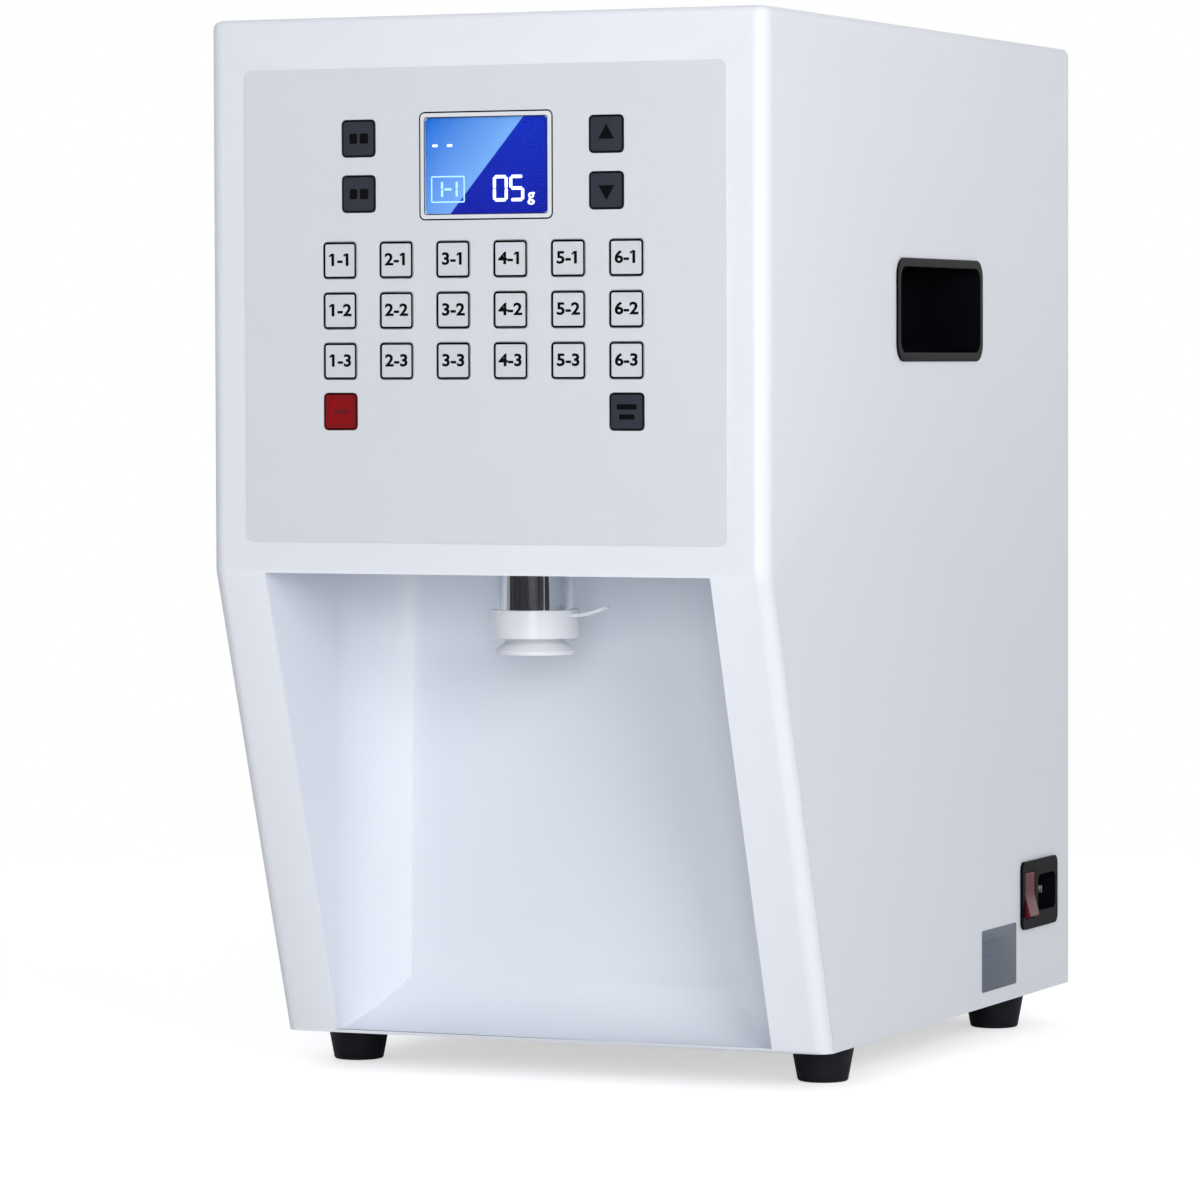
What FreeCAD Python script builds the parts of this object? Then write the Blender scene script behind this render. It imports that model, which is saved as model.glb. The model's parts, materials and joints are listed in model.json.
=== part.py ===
import FreeCAD, Part
import math
import os

from FreeCAD import Vector

# A tabletop dispenser that doses powder with an auger.
# Frame: millimetres, +Z up, front towards -Y, origin on the table under the middle.

# ---- cabinet: folded and welded painted sheet
WIDTH = 260.0
DEPTH = 390.0
CABINET_HEIGHT = 446.0
FOOT_HEIGHT = 16.0
SHEET = 1.5
FOLD_SHARE = 207.0 / 446.0  # how far up the cabinet the fold in its front lies
SETBACK = 70.0  # how far the front leans back from the fold to the bottom edge
EDGE_RADIUS = 7.0
FOLD_RADIUS = 14.0
TOP_RADIUS = 4.0
FLANGE = 12.0  # inward return at the bottom and at the back
REAR_RECESS = 1.5  # the rear cover lies this far inside the side walls' ends
SEAT_GAP = 0.3  # around a panel that drops into its seat

# ---- cup bay
CHEEK_WIDTH = 26.0  # the front beside the bay
BAY_DEPTH = 105.0
BAY_COVE = 34.0

# ---- lid and its hinge
LID_SIDE = 20.0  # from the cabinet's side to the lid
LID_FRONT = 35.0  # from the cabinet's front to the lid
LID_BACK = 44.0  # from the lid to the cabinet's back
LID_SHEET = 2.0
LID_CORNER = 8.0
LID_GAP = 1.0
SEAL_WIDTH = 8.0
SEAL_SIDE_INSET = 6.0
SEAL_END_INSET = 16.0
HINGE_RADIUS = 2.5
HINGE_PIN_RADIUS = 1.0
HINGE_LENGTH = 190.0
HINGE_KNUCKLES = 5
HINGE_LEAF = 1.0
HINGE_LIFT = 0.3  # under the knuckles
HINGE_GAP = 0.5
HINGE_REAR_ROOM = 4.0
LEAF_LENGTH = 14.0
NOTCH_RADIUS = 14.0
NOTCH_DEPTH = 16.0
CUP_SEAL_ROOM = 2.0  # between the finger cup and the seal

# ---- keypad and display
OVERLAY_SIDE = 18.0  # from the cabinet's side to the film
OVERLAY_DOWN = 22.4  # from the cabinet's top to the film
OVERLAY_UP = 13.4  # from the fold to the film
OVERLAY_THICK = 0.5
OVERLAY_CORNER = 3.0
KEY_SIZE = 15.6
KEY_CORNER = 1.6
KEY_GAP = 0.3
KEY_PROUD = 0.2
KEY_TRAVEL = 0.5
KEY_FLANGE = 1.2  # how far the flange behind the panel reaches past the cap
KEY_FLANGE_THICK = 1.0
KEY_STEM_SIZE = 4.5
KEY_STEM = 1.0
KEY_PITCH_X = 26.7
KEY_PITCH_Z = 21.6
KEY_COLUMNS = 6
KEY_ROWS = 3
FIRST_KEY_DOWN = 82.1  # from the film's upper edge to the first row
SIDE_KEY_X = 57.7
SIDE_KEY_UPPER_DOWN = 30.1
SIDE_KEY_LOWER_DOWN = 53.8
SWITCH_SIZE = 6.0
SWITCH_HEIGHT = 3.5
PLUNGER_SIZE = 3.0
PLUNGER = 0.8
BOARD_SIDE = 23.45  # from the outer keys to the board's side edge
BOARD_DOWN = 13.6  # from the film's upper edge to the board's
BOARD_HEIGHT = 158.0
BOARD_THICK = 1.6
CHIP_SIZE = 18.0
CHIP_THICK = 2.5
PLUG_LENGTH = 40.0
PLUG_HEIGHT = 8.0
PLUG_DEPTH = 8.0
POST_SIZE = 6.0
POST_INSET = 7.0
SMALL_GAP = 0.1
DISPLAY_X = 2.0
DISPLAY_DOWN = 42.4  # from the film's upper edge to the display's middle
DISPLAY_WIDTH = 61.0
DISPLAY_HEIGHT = 45.0
BEZEL_BORDER = 2.0
BEZEL_THICK = 0.8
BEZEL_CORNER = 2.0
WINDOW_THICK = 0.5
LCD_RECESS = 0.3
LCD_BORDER = 3.0
LCD_FRAME_THICK = 3.0

# ---- side grips and power unit
GRIP_LENGTH = 112.0
GRIP_HEIGHT = 46.0
GRIP_BEHIND_FRONT = 210.0  # from the cabinet's front to the grip's middle
GRIP_DOWN = 125.6  # from the cabinet's top to the grip's middle
GRIP_CORNER = 6.0
GRIP_LIP = 2.0
GRIP_LIP_THICK = 1.0
GRIP_WALL = 2.0
GRIP_DEPTH = 24.0
GRIP_SCOOP = 18.0
POWER_LENGTH = 50.0
POWER_HEIGHT = 32.0
POWER_FROM_BACK = 45.0
POWER_UP = 47.0  # from the cabinet's bottom edge to the unit's middle
POWER_CORNER = 4.0
POWER_LIP = 2.0
POWER_LIP_THICK = 1.5
POWER_DEPTH = 24.0
ROCKER_LENGTH = 13.0
ROCKER_RADIUS = 10.7
ROCKER_GAP = 0.3
ROCKER_TILT = 7.0
ROCKER_PIVOT_RADIUS = 1.5
ROCKER_PIVOT = 1.2
ROCKER_BACK = 8.5
ROCKER_BACK_ROOM = 2.0
ROCKER_FROM_END = 10.0  # from the power unit's front end to the rocker's middle
INLET_LENGTH = 25.0
INLET_HEIGHT = 17.0
INLET_DEPTH = 16.0
INLET_CORNER = 3.5
INLET_FROM_END = 16.0  # from the power unit's rear end to the socket's middle
BLADE_WIDTH = 4.0
BLADE_THICK = 2.0
BLADE_LENGTH = 11.0
BLADE_SPREAD = 7.0
BLADE_RAISE = 2.0

# ---- auger, hopper and agitator wheel
AUGER_UP = 27.0  # from the fold to the auger's axis
AUGER_RADIUS = 17.2
AUGER_CORE = 5.0
AUGER_PITCH = 24.0
FLIGHT_THICK = 2.4  # at the shaft
FLIGHT_RIM = 1.7  # at the outer edge
FLIGHT_END_ROOM = 5.0  # from the flight to the hopper's back wall, or more
FLIGHT_FACETS = 12  # flat facets in one turn
FLIGHT_ROOTED = 1.0  # how deep the flight is set in the shaft
SHAFT_PAST_FLIGHT = 6.0
TUBE_GAP = 1.0
TUBE_WALL = 1.8
TUBE_FLANGE_RADIUS = 30.0
TUBE_FLANGE = 3.0
TUBE_END_ROOM = 29.0  # from the outlet's axis to the closed front end
HOPPER_SIDE_ROOM = 11.0  # between the hopper and the side grips
HOPPER_FRONT_ROOM = 90.0  # from the cabinet's front to the hopper
HOPPER_BACK_ROOM = 105.0  # from the hopper to the cabinet's back
HOPPER_WALL = 2.0
HOPPER_SIDE_ANGLE = 52.0
HOPPER_DOWN = 22.0  # from the cabinet's top to the hopper's rim
HOPPER_RIM = 8.0
HOPPER_RIM_THICK = 2.0
SHELF_OVERLAP = 6.0
SEAL_BUSH_RADIUS = 9.0
SEAL_BUSH_FLANGE = 14.0
SEAL_BUSH_THICK = 3.0
SHAFT_GAP = 0.05
WHEEL_TEETH = 12
WHEEL_REACH = 48.5
WHEEL_TIP_GAP = 3.0
WHEEL_FORWARD = 2.5  # from the hopper's middle to the wheel
WHEEL_HUB_RADIUS = 10.0
WHEEL_HUB_WIDTH = 16.0
WHEEL_RIM_RADIUS = 33.0
WHEEL_RIM_THICK = 4.0
WHEEL_RIM_WIDTH = 7.0
TOOTH_WIDTH = 5.0
TOOTH_ROOTED = 2.0  # how deep a tooth is set in the hub
AXLE_RADIUS = 4.0
AXLE_RING_RADIUS = 6.0
AXLE_RING = 3.0
AXLE_BOSS_RADIUS = 8.0
AXLE_BOSS_INSIDE = 46.0

# ---- outlet
OUTLET_FROM_FRONT = 53.9
OUTLET_RADIUS = 16.7
OUTLET_WALL = 1.5
OUTLET_DROP = 23.0  # from the bay's ceiling to the pipe's end
OUTLET_HOLE_GAP = 0.4
COLLAR_RADIUS = 19.3
COLLAR_RISE = 6.5  # above the pipe's end
COLLAR_DROP = 5.8  # below the pipe's end
COLLAR_GAP = 0.1
COLLAR_LIFT_GAP = 0.4
TAB_REACH = 34.7
TAB_WIDTH = 9.0
TAB_THICK = 1.6
TAB_RISE = 3.6
TAB_ROOTED = 0.8  # how deep the tab is set in the ring
NOZZLE_FLANGE = 2.5
NOZZLE_NECK_RADIUS = 12.5
NOZZLE_WALL = 2.0
NOZZLE_FLARE_RADIUS = 17.1
NOZZLE_LENGTH = 13.0
NOZZLE_FLARE = 1.8
NOZZLE_FLARE_RISE = 4.0
SENSOR_LENGTH = 11.0
SENSOR_WIDTH = 8.0
SENSOR_PROUD = 2.0
SENSOR_CORNER = 1.5
SENSOR_X = 41.5

# ---- drive and supply
COUPLING_RADIUS = 13.0
COUPLING_LENGTH = 14.0
SLEEVE_RADIUS = 9.0
SLEEVE_LENGTH = 18.0
COUPLING_CLEARANCE = 6.0
COUPLING_TO_BRACKET = 2.0
BRACKET_SHEET = 2.0
BRACKET_HEIGHT = 92.0
BRACKET_FLANGE = 15.0
GEARBOX_RADIUS = 30.0
GEARBOX_LENGTH = 26.0
MOTOR_RADIUS = 24.0
MOTOR_LENGTH = 36.0
MOTOR_CAP_RADIUS = 17.0
MOTOR_CAP = 4.0
SUPPLY_LENGTH = 110.0
SUPPLY_WIDTH = 98.0
SUPPLY_HEIGHT = 42.0
SUPPLY_BEHIND_BAY = 30.0
SUPPLY_SHEET = 1.2
TERMINAL_DEPTH = 14.0

# ---- feet, screws and vents
FOOT_TOP_RADIUS = 14.0
FOOT_BOTTOM_RADIUS = 11.0
FOOT_INSET = 17.5
FRONT_FOOT = 109.0  # from the cabinet's front to the front feet
REAR_FOOT = 56.0  # from the rear feet to the cabinet's back
FOOT_SIDES = 16
HIDDEN_SIDES = 16  # round pieces inside the machine are drawn with so many flats
FOOT_RECESS_RADIUS = 5.0
FOOT_RECESS = 8.0
SCREW_HEAD_RADIUS = 4.0
SCREW_HEAD = 2.5
SCREW_RADIUS = 2.0
SCREW_LENGTH = 13.0
SCREW_HOLE_GAP = 0.1
SCREW_SIDES = 8
COVER_SCREW_ROWS = 3
VENT_LENGTH = 60.0
VENT_WIDTH = 4.0
VENT_PITCH = 10.0
VENT_ROWS = 8
VENT_UP = 134.0  # from the cabinet's bottom edge to the middle of the slots
VENT_SPREAD = 45.0

CUT_PAST = 1.0  # how far a cutter runs past what it cuts

# ---- places that follow from the sizes
BOTTOM = FOOT_HEIGHT
TOP = BOTTOM + CABINET_HEIGHT
FRONT = -DEPTH / 2
BACK = DEPTH / 2
SIDE = WIDTH / 2
FOLD_Z = BOTTOM + CABINET_HEIGHT * FOLD_SHARE
LEAN = math.atan2(SETBACK, FOLD_Z - BOTTOM)
PANEL_BACK = FRONT + SHEET
BAY_WIDTH = WIDTH - 2 * CHEEK_WIDTH
BAY_BACK = FRONT + BAY_DEPTH
BAY_FLOOR = BOTTOM + SHEET
AUGER_Z = FOLD_Z + AUGER_UP
OUTLET_Y = FRONT + OUTLET_FROM_FRONT
OUTLET_END = FOLD_Z - OUTLET_DROP
COLLAR_TOP = OUTLET_END + COLLAR_RISE
COLLAR_BOTTOM = OUTLET_END - COLLAR_DROP
NOZZLE_END = OUTLET_END - NOZZLE_LENGTH
NOZZLE_FLARE_TOP = NOZZLE_END + NOZZLE_FLARE
TUBE_BORE = AUGER_RADIUS + TUBE_GAP
TUBE_RADIUS = TUBE_BORE + TUBE_WALL
TUBE_FRONT = OUTLET_Y - TUBE_END_ROOM
LID_WIDTH = WIDTH - 2 * LID_SIDE
LID_LENGTH = DEPTH - LID_FRONT - LID_BACK
LID_REAR = BACK - LID_BACK
LID_MIDDLE_Y = LID_REAR - LID_LENGTH / 2
HINGE_Y = LID_REAR + HINGE_GAP + HINGE_RADIUS
HINGE_Z = TOP - HINGE_RADIUS
LEDGE_TOP = TOP - 2 * HINGE_RADIUS - HINGE_LIFT
OPENING_REAR = HINGE_Y + HINGE_REAR_ROOM
OVERLAY_WIDTH = WIDTH - 2 * OVERLAY_SIDE
OVERLAY_TOP = TOP - OVERLAY_DOWN
OVERLAY_BOTTOM = FOLD_Z + OVERLAY_UP
OVERLAY_MIDDLE = (OVERLAY_TOP + OVERLAY_BOTTOM) / 2
DISPLAY_Z = OVERLAY_TOP - DISPLAY_DOWN
FIRST_KEY_Z = OVERLAY_TOP - FIRST_KEY_DOWN
BOARD_WIDTH = KEY_PITCH_X * (KEY_COLUMNS - 1) + KEY_SIZE + 2 * BOARD_SIDE
BOARD_TOP = OVERLAY_TOP - BOARD_DOWN
BOARD_BOTTOM = BOARD_TOP - BOARD_HEIGHT
GRIP_MIDDLE_Y = FRONT + GRIP_BEHIND_FRONT
GRIP_MIDDLE_Z = TOP - GRIP_DOWN
POWER_MIDDLE_Y = BACK - POWER_FROM_BACK
POWER_MIDDLE_Z = BOTTOM + POWER_UP
BOARD_FRONT = (PANEL_BACK + SMALL_GAP + KEY_FLANGE_THICK + KEY_STEM + KEY_TRAVEL + SMALL_GAP
               + PLUNGER + SWITCH_HEIGHT)
BOARD_BACK = BOARD_FRONT + BOARD_THICK
COVER_Y = BACK - REAR_RECESS - SHEET
HOPPER_WIDTH = WIDTH - 2 * (GRIP_DEPTH + HOPPER_SIDE_ROOM)
HOPPER_FRONT = FRONT + HOPPER_FRONT_ROOM
HOPPER_BACK = BACK - HOPPER_BACK_ROOM
HOPPER_TOP = TOP - HOPPER_DOWN
FLIGHT_ROOM = HOPPER_BACK - HOPPER_WALL - FLIGHT_END_ROOM - OUTLET_Y
FLIGHT_TURNS = math.floor(FLIGHT_ROOM / AUGER_PITCH)
WHEEL_Y = (HOPPER_FRONT + HOPPER_BACK) / 2 - WHEEL_FORWARD
WHEEL_Z = AUGER_Z + AUGER_CORE + WHEEL_TIP_GAP + WHEEL_REACH
COUPLING_Y = HOPPER_BACK + SEAL_BUSH_THICK + COUPLING_CLEARANCE
BRACKET_Y = COUPLING_Y + COUPLING_LENGTH + COUPLING_TO_BRACKET
GEARBOX_Y = BRACKET_Y + BRACKET_SHEET
ROCKER_Y = POWER_MIDDLE_Y - POWER_LENGTH / 2 + ROCKER_FROM_END
INLET_Y = POWER_MIDDLE_Y + POWER_LENGTH / 2 - INLET_FROM_END
ROCKER_X = SIDE + POWER_LIP_THICK - POWER_LIP
SUPPLY_Y = BAY_BACK + SHEET + SUPPLY_BEHIND_BAY + SUPPLY_LENGTH / 2
FAR = WIDTH + DEPTH + CABINET_HEIGHT


# ---- helpers
def spot(axis, a, b, c):
    """The point at a and b across an axis and at c along it."""
    if axis == "X":
        return Vector(c, a, b)
    if axis == "Y":
        return Vector(a, c, b)
    return Vector(a, b, c)


def block(x_low, x_high, y_low, y_high, z_low, z_high):
    corner = Vector(x_low, y_low, z_low)
    return Part.makeBox(x_high - x_low, y_high - y_low, z_high - z_low, corner)


def rod(axis, a, b, radius, low, high):
    return Part.makeCylinder(radius, high - low, spot(axis, a, b, low), spot(axis, 0, 0, 1))


def tube(axis, a, b, outer, inner, low, high):
    return rod(axis, a, b, outer, low, high).cut(rod(axis, a, b, inner, low, high))


def prism(axis, points, low, high):
    """A straight-sided outline, given across an axis and thick along it."""
    corners = [spot(axis, a, b, low) for a, b in points]
    face = Part.Face(Part.makePolygon(corners + corners[:1]))
    return face.extrude(spot(axis, 0, 0, high - low))


def ring_points(a, b, radius, sides):
    """The corners of an even outline whose flats lie at the radius."""
    reach = radius / math.cos(math.pi / sides)
    angles = [math.pi * (2 * number + 1) / sides for number in range(sides)]
    return [(a + reach * math.cos(angle), b + reach * math.sin(angle)) for angle in angles]


def facet_rod(axis, a, b, radius, low, high, sides):
    return prism(axis, ring_points(a, b, radius, sides), low, high)


def turned(axis, a, b, profile):
    """A lathe-turned shape: the profile is a list of radius and place along the axis."""
    corners = [spot(axis, a + radius, b, along) for radius, along in profile]
    face = Part.Face(Part.makePolygon(corners + corners[:1]))
    return face.revolve(spot(axis, a, b, 0), spot(axis, 0, 0, 1), 360)


def cut_slab(axis, a, b, size_a, size_b, radius, low, high):
    """A rectangle whose small round corners are drawn as two facets each."""
    points = []
    for sign_a, sign_b, start in ((1, 1, 0), (-1, 1, 90), (-1, -1, 180), (1, -1, 270)):
        for turn in (0, 45, 90):
            angle = math.radians(start + turn)
            along_a = a + sign_a * (size_a / 2 - radius) + radius * math.cos(angle)
            along_b = b + sign_b * (size_b / 2 - radius) + radius * math.sin(angle)
            points.append((along_a, along_b))
    return prism(axis, points, low, high)


def rounded_slab(axis, a, b, size_a, size_b, radius, low, high):
    """A rectangle with round corners, thick along an axis."""
    reach_a = size_a / 2 - radius
    reach_b = size_b / 2 - radius
    arcs = []
    for sign_a, sign_b, start in ((1, 1, 0), (-1, 1, 90), (-1, -1, 180), (1, -1, 270)):
        points = []
        for turn in (0, 45, 90):
            angle = math.radians(start + turn)
            along_a = a + sign_a * reach_a + radius * math.cos(angle)
            along_b = b + sign_b * reach_b + radius * math.sin(angle)
            points.append(spot(axis, along_a, along_b, low))
        arcs.append(Part.Arc(*points).toShape())
    edges = []
    for number, arc in enumerate(arcs):
        following = arcs[(number + 1) % len(arcs)]
        edges.append(arc)
        edges.append(Part.LineSegment(arc.Vertexes[-1].Point, following.Vertexes[0].Point).toShape())
    face = Part.Face(Part.Wire(edges))
    return face.extrude(spot(axis, 0, 0, high - low))


def edges_where(shape, test):
    """The edges whose middle and two ends all pass a test."""
    chosen = []
    for edge in shape.Edges:
        middle = edge.valueAt((edge.FirstParameter + edge.LastParameter) / 2)
        points = [middle] + [vertex.Point for vertex in edge.Vertexes]
        if all(test(point) for point in points):
            chosen.append(edge)
    return chosen


def mirrored(shape):
    return shape.mirror(Vector(0, 0, 0), Vector(1, 0, 0))


def joined(shapes):
    whole = shapes[0]
    for shape in shapes[1:]:
        whole = whole.fuse(shape)
    return whole.removeSplitter()


def save(name, shape):
    """Writes one sub-part, after a look at whether it is sound."""
    solids = shape.Solids
    sound = shape.isValid() and all(solid.Volume > 0 for solid in solids)
    if len(solids) == 1:
        shape = solids[0]
    else:
        shape = Part.makeCompound(solids)
    shape.exportStep("parts/" + name + ".step")
    print(f"{name}: {len(solids)} solids, {shape.Volume / 1000:.1f} cm3, sound {sound}")


# ---- the cabinet's form
def front_at(height, inset):
    """How far back the front lies at a height, on the outside moved inwards."""
    fold = FOLD_Z + inset * math.tan(LEAN / 2)
    return FRONT + inset + max(0.0, fold - height) * math.tan(LEAN)


def cabinet_form(inset, low, high, back):
    """The cabinet's closed form, moved inwards, with its soft edges."""
    fold = FOLD_Z + inset * math.tan(LEAN / 2)
    outline = [
        (FRONT + inset, high),
        (FRONT + inset, fold),
        (front_at(low, inset), low),
        (back, low),
        (back, high),
    ]
    side = SIDE - inset
    form = prism("X", outline, -side, side)
    near_fold = edges_where(form, lambda p: abs(p.z - fold) < 0.01 and p.y < 0)
    form = form.makeFillet(FOLD_RADIUS - inset, near_fold)
    at_front_corner = edges_where(
        form, lambda p: abs(abs(p.x) - side) < 0.01 and p.y < front_at(p.z, inset) + EDGE_RADIUS / 2
    )
    form = form.makeFillet(EDGE_RADIUS - inset, at_front_corner)
    return form


def soften_top(form, inset):
    top = TOP - inset
    around = edges_where(form, lambda p: abs(p.z - top) < 0.01)
    open_end = max(edge.BoundBox.YMin for edge in around)
    around = [edge for edge in around if edge.BoundBox.YMin < open_end - SHEET]
    return form.makeFillet(TOP_RADIUS - inset, around)


def cabinet_slice(inset, low, high, back):
    """A level slice of the cabinet's form, moved inwards."""
    form = cabinet_form(inset, BOTTOM - CUT_PAST, TOP, back)
    return form.common(block(-SIDE, SIDE, FRONT, back, low, high))


def bay_form(grow):
    """The space of the cup bay, or the outside of its liner."""
    form = block(
        -BAY_WIDTH / 2 - grow,
        BAY_WIDTH / 2 + grow,
        FRONT - SETBACK,
        BAY_BACK + grow,
        BAY_FLOOR - grow,
        FOLD_Z + grow,
    )
    back = BAY_BACK + grow
    coves = edges_where(
        form, lambda p: abs(p.y - back) < 0.01 and (p.z < FOLD_Z + grow - 0.01)
    )
    upright = [
        edge
        for edge in form.Edges
        if all(abs(v.Point.y - back) < 0.01 for v in edge.Vertexes)
        and abs(edge.Vertexes[0].Point.z - edge.Vertexes[1].Point.z) > 1.0
    ]
    return form.makeFillet(BAY_COVE + grow, coves + upright)


def hopper_form(grow, low, high):
    """The hopper's section: a round trough, sloping sides, upright sides; drawn along Y."""
    slope = math.radians(HOPPER_SIDE_ANGLE)
    trough = TUBE_BORE + grow
    half = HOPPER_WIDTH / 2 - HOPPER_WALL + grow
    touch_x = trough * math.sin(slope)
    touch_z = AUGER_Z - trough * math.cos(slope)
    bend_z = hopper_bend(grow)
    arc = Part.Arc(
        Vector(-touch_x, low, touch_z),
        Vector(0, low, AUGER_Z - trough),
        Vector(touch_x, low, touch_z),
    ).toShape()
    corners = [
        Vector(touch_x, low, touch_z),
        Vector(half, low, bend_z),
        Vector(half, low, HOPPER_TOP),
        Vector(-half, low, HOPPER_TOP),
        Vector(-half, low, bend_z),
        Vector(-touch_x, low, touch_z),
    ]
    lines = [Part.LineSegment(a, b).toShape() for a, b in zip(corners, corners[1:])]
    return Part.Face(Part.Wire([arc] + lines)).extrude(Vector(0, high - low, 0))


def hopper_bend(grow):
    """The level at which the sloping sides turn upright."""
    slope = math.radians(HOPPER_SIDE_ANGLE)
    trough = TUBE_BORE + grow
    half = HOPPER_WIDTH / 2 - HOPPER_WALL + grow
    rise = (half - trough * math.sin(slope)) * math.tan(slope)
    return AUGER_Z - trough * math.cos(slope) + rise


# ---- the keypad's layout
def key_places():
    """Every key's name and its place on the front."""
    places = {}
    first_x = -KEY_PITCH_X * (KEY_COLUMNS - 1) / 2
    for row in range(KEY_ROWS):
        for column in range(KEY_COLUMNS):
            x = first_x + column * KEY_PITCH_X
            places[f"key_{column + 1}_{row + 1}"] = (x, FIRST_KEY_Z - row * KEY_PITCH_Z)
    last_z = FIRST_KEY_Z - KEY_ROWS * KEY_PITCH_Z
    places["key_stop"] = (first_x, last_z)
    places["key_menu"] = (-first_x, last_z)
    upper = OVERLAY_TOP - SIDE_KEY_UPPER_DOWN
    lower = OVERLAY_TOP - SIDE_KEY_LOWER_DOWN
    places["key_mode"] = (-SIDE_KEY_X, upper)
    places["key_set"] = (-SIDE_KEY_X, lower)
    places["key_up"] = (SIDE_KEY_X, upper)
    places["key_down"] = (SIDE_KEY_X, lower)
    return places


def screw_places():
    """Where the identical screws go: under each foot and round the rear cover."""
    rows = (FRONT + FRONT_FOOT, BACK - REAR_FOOT)
    feet = [(side * (SIDE - FOOT_INSET), y) for side in (-1, 1) for y in rows]
    across = SIDE - SHEET - FLANGE / 2
    low = BOTTOM + SHEET + FLANGE / 2 + SEAT_GAP
    high = TOP - SHEET - FLANGE / 2
    step = (high - low) / (COVER_SCREW_ROWS - 1)
    cover = [
        (side * across, low + number * step) for side in (-1, 1) for number in range(COVER_SCREW_ROWS)
    ]
    return feet, cover


FEET, COVER_SCREWS = screw_places()
KEYS = key_places()


def screw_holes(shape):
    """Cuts the screws' clearance holes in a sheet that they pass through."""
    radius = SCREW_RADIUS + SCREW_HOLE_GAP
    high = BOTTOM + 3 * SHEET
    low = COVER_Y - 3 * SHEET
    cutters = [facet_rod("Z", x, y, radius, 0, high, SCREW_SIDES) for x, y in FEET]
    cutters += [facet_rod("Y", x, z, radius, low, BACK, SCREW_SIDES) for x, z in COVER_SCREWS]
    return shape.cut(Part.makeCompound(cutters))


# ---- cabinet pieces
def cabinet_walls():
    """The painted skin of front, sides and top with its cut-outs, before it is parted."""
    outer = soften_top(cabinet_form(0, BOTTOM, TOP, BACK), 0)
    inner = soften_top(
        cabinet_form(SHEET, BOTTOM - CUT_PAST, TOP - SHEET, BACK + CUT_PAST), SHEET
    )
    walls = outer.cut(inner).cut(bay_form(0)).cut(lid_opening())
    cutters = [key_hole(x, z, PANEL_BACK + CUT_PAST) for x, z in KEYS.values()]
    width, height = screen_size(0)
    cutters.append(display_block(width, height, FRONT - CUT_PAST, PANEL_BACK + CUT_PAST))
    grip_hole = rounded_slab(
        "X",
        GRIP_MIDDLE_Y,
        GRIP_MIDDLE_Z,
        GRIP_LENGTH - 2 * GRIP_LIP,
        GRIP_HEIGHT - 2 * GRIP_LIP,
        GRIP_CORNER,
        SIDE - SHEET - CUT_PAST,
        SIDE + CUT_PAST,
    )
    power_hole = rounded_slab(
        "X",
        POWER_MIDDLE_Y,
        POWER_MIDDLE_Z,
        POWER_LENGTH - 2 * POWER_LIP,
        POWER_HEIGHT - 2 * POWER_LIP,
        POWER_CORNER,
        SIDE - SHEET - CUT_PAST,
        SIDE + CUT_PAST,
    )
    cutters += [grip_hole, mirrored(grip_hole), power_hole]
    return walls.cut(Part.makeCompound(cutters))


def top_zone():
    """The part of the skin that is one sheet with the top: it is bent down all round."""
    return block(-SIDE, SIDE, FRONT, BACK, TOP - TOP_RADIUS, TOP)


def side_zone():
    """The flat of the right side, inside the bends of its neighbours."""
    high = TOP - TOP_RADIUS
    fold = FOLD_Z + EDGE_RADIUS * math.tan(LEAN / 2)
    outline = [
        (FRONT + EDGE_RADIUS, high),
        (FRONT + EDGE_RADIUS, fold),
        (front_at(BOTTOM, EDGE_RADIUS), BOTTOM),
        (BACK, BOTTOM),
        (BACK, high),
    ]
    return prism("X", outline, SIDE - SHEET, SIDE)


def cabinet_top():
    return WALLS.common(top_zone())


def cabinet_front():
    """The front panel, the leaning cheek on each side of the bay, and the sill under it."""
    sheet = WALLS.cut(top_zone()).cut(side_zone()).cut(mirrored(side_zone()))
    panel = sheet.common(block(-SIDE, SIDE, FRONT, BACK, FOLD_Z, TOP))
    cheek = sheet.common(block(BAY_WIDTH / 2, SIDE, FRONT, BACK, BAY_FLOOR, FOLD_Z))
    sill = sheet.common(block(-SIDE, SIDE, FRONT, BACK, BOTTOM, BAY_FLOOR))
    pieces = panel.Solids + cheek.Solids + mirrored(cheek).Solids + sill.Solids
    return Part.makeCompound(pieces)


def cabinet_sides():
    """The side sheets, the returns along the bottom and back edges, and the hopper's shelves."""
    right = WALLS.common(side_zone())
    left = WALLS.common(mirrored(side_zone()))
    inside = SIDE - SHEET - FLANGE
    bottom_return = cabinet_slice(SHEET, BOTTOM, BOTTOM + SHEET, COVER_Y - SHEET).cut(
        block(-inside, inside, FRONT, COVER_Y - FLANGE, 0, TOP)
    )
    across = SIDE - SHEET
    back_return = block(-across, across, COVER_Y - SHEET, COVER_Y, BOTTOM, TOP - SHEET).cut(
        block(-inside, inside, FRONT, BACK, BOTTOM + SHEET + FLANGE, TOP - SHEET - FLANGE)
    )
    back_return = back_return.cut(WALLS)
    shelf_inner = HOPPER_WIDTH / 2 + HOPPER_RIM - SHELF_OVERLAP
    shelf_top = HOPPER_TOP - HOPPER_RIM_THICK
    shelf = block(shelf_inner, across, HOPPER_FRONT, HOPPER_BACK, shelf_top - SHEET, shelf_top)
    returns = screw_holes(bottom_return.cut(bay_form(0))).Solids + screw_holes(back_return).Solids
    return Part.makeCompound(right.Solids + left.Solids + returns + [shelf, mirrored(shelf)])


def key_hole(x, z, back):
    half = KEY_SIZE / 2 + KEY_GAP
    return block(x - half, x + half, FRONT - CUT_PAST, back, z - half, z + half)


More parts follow.
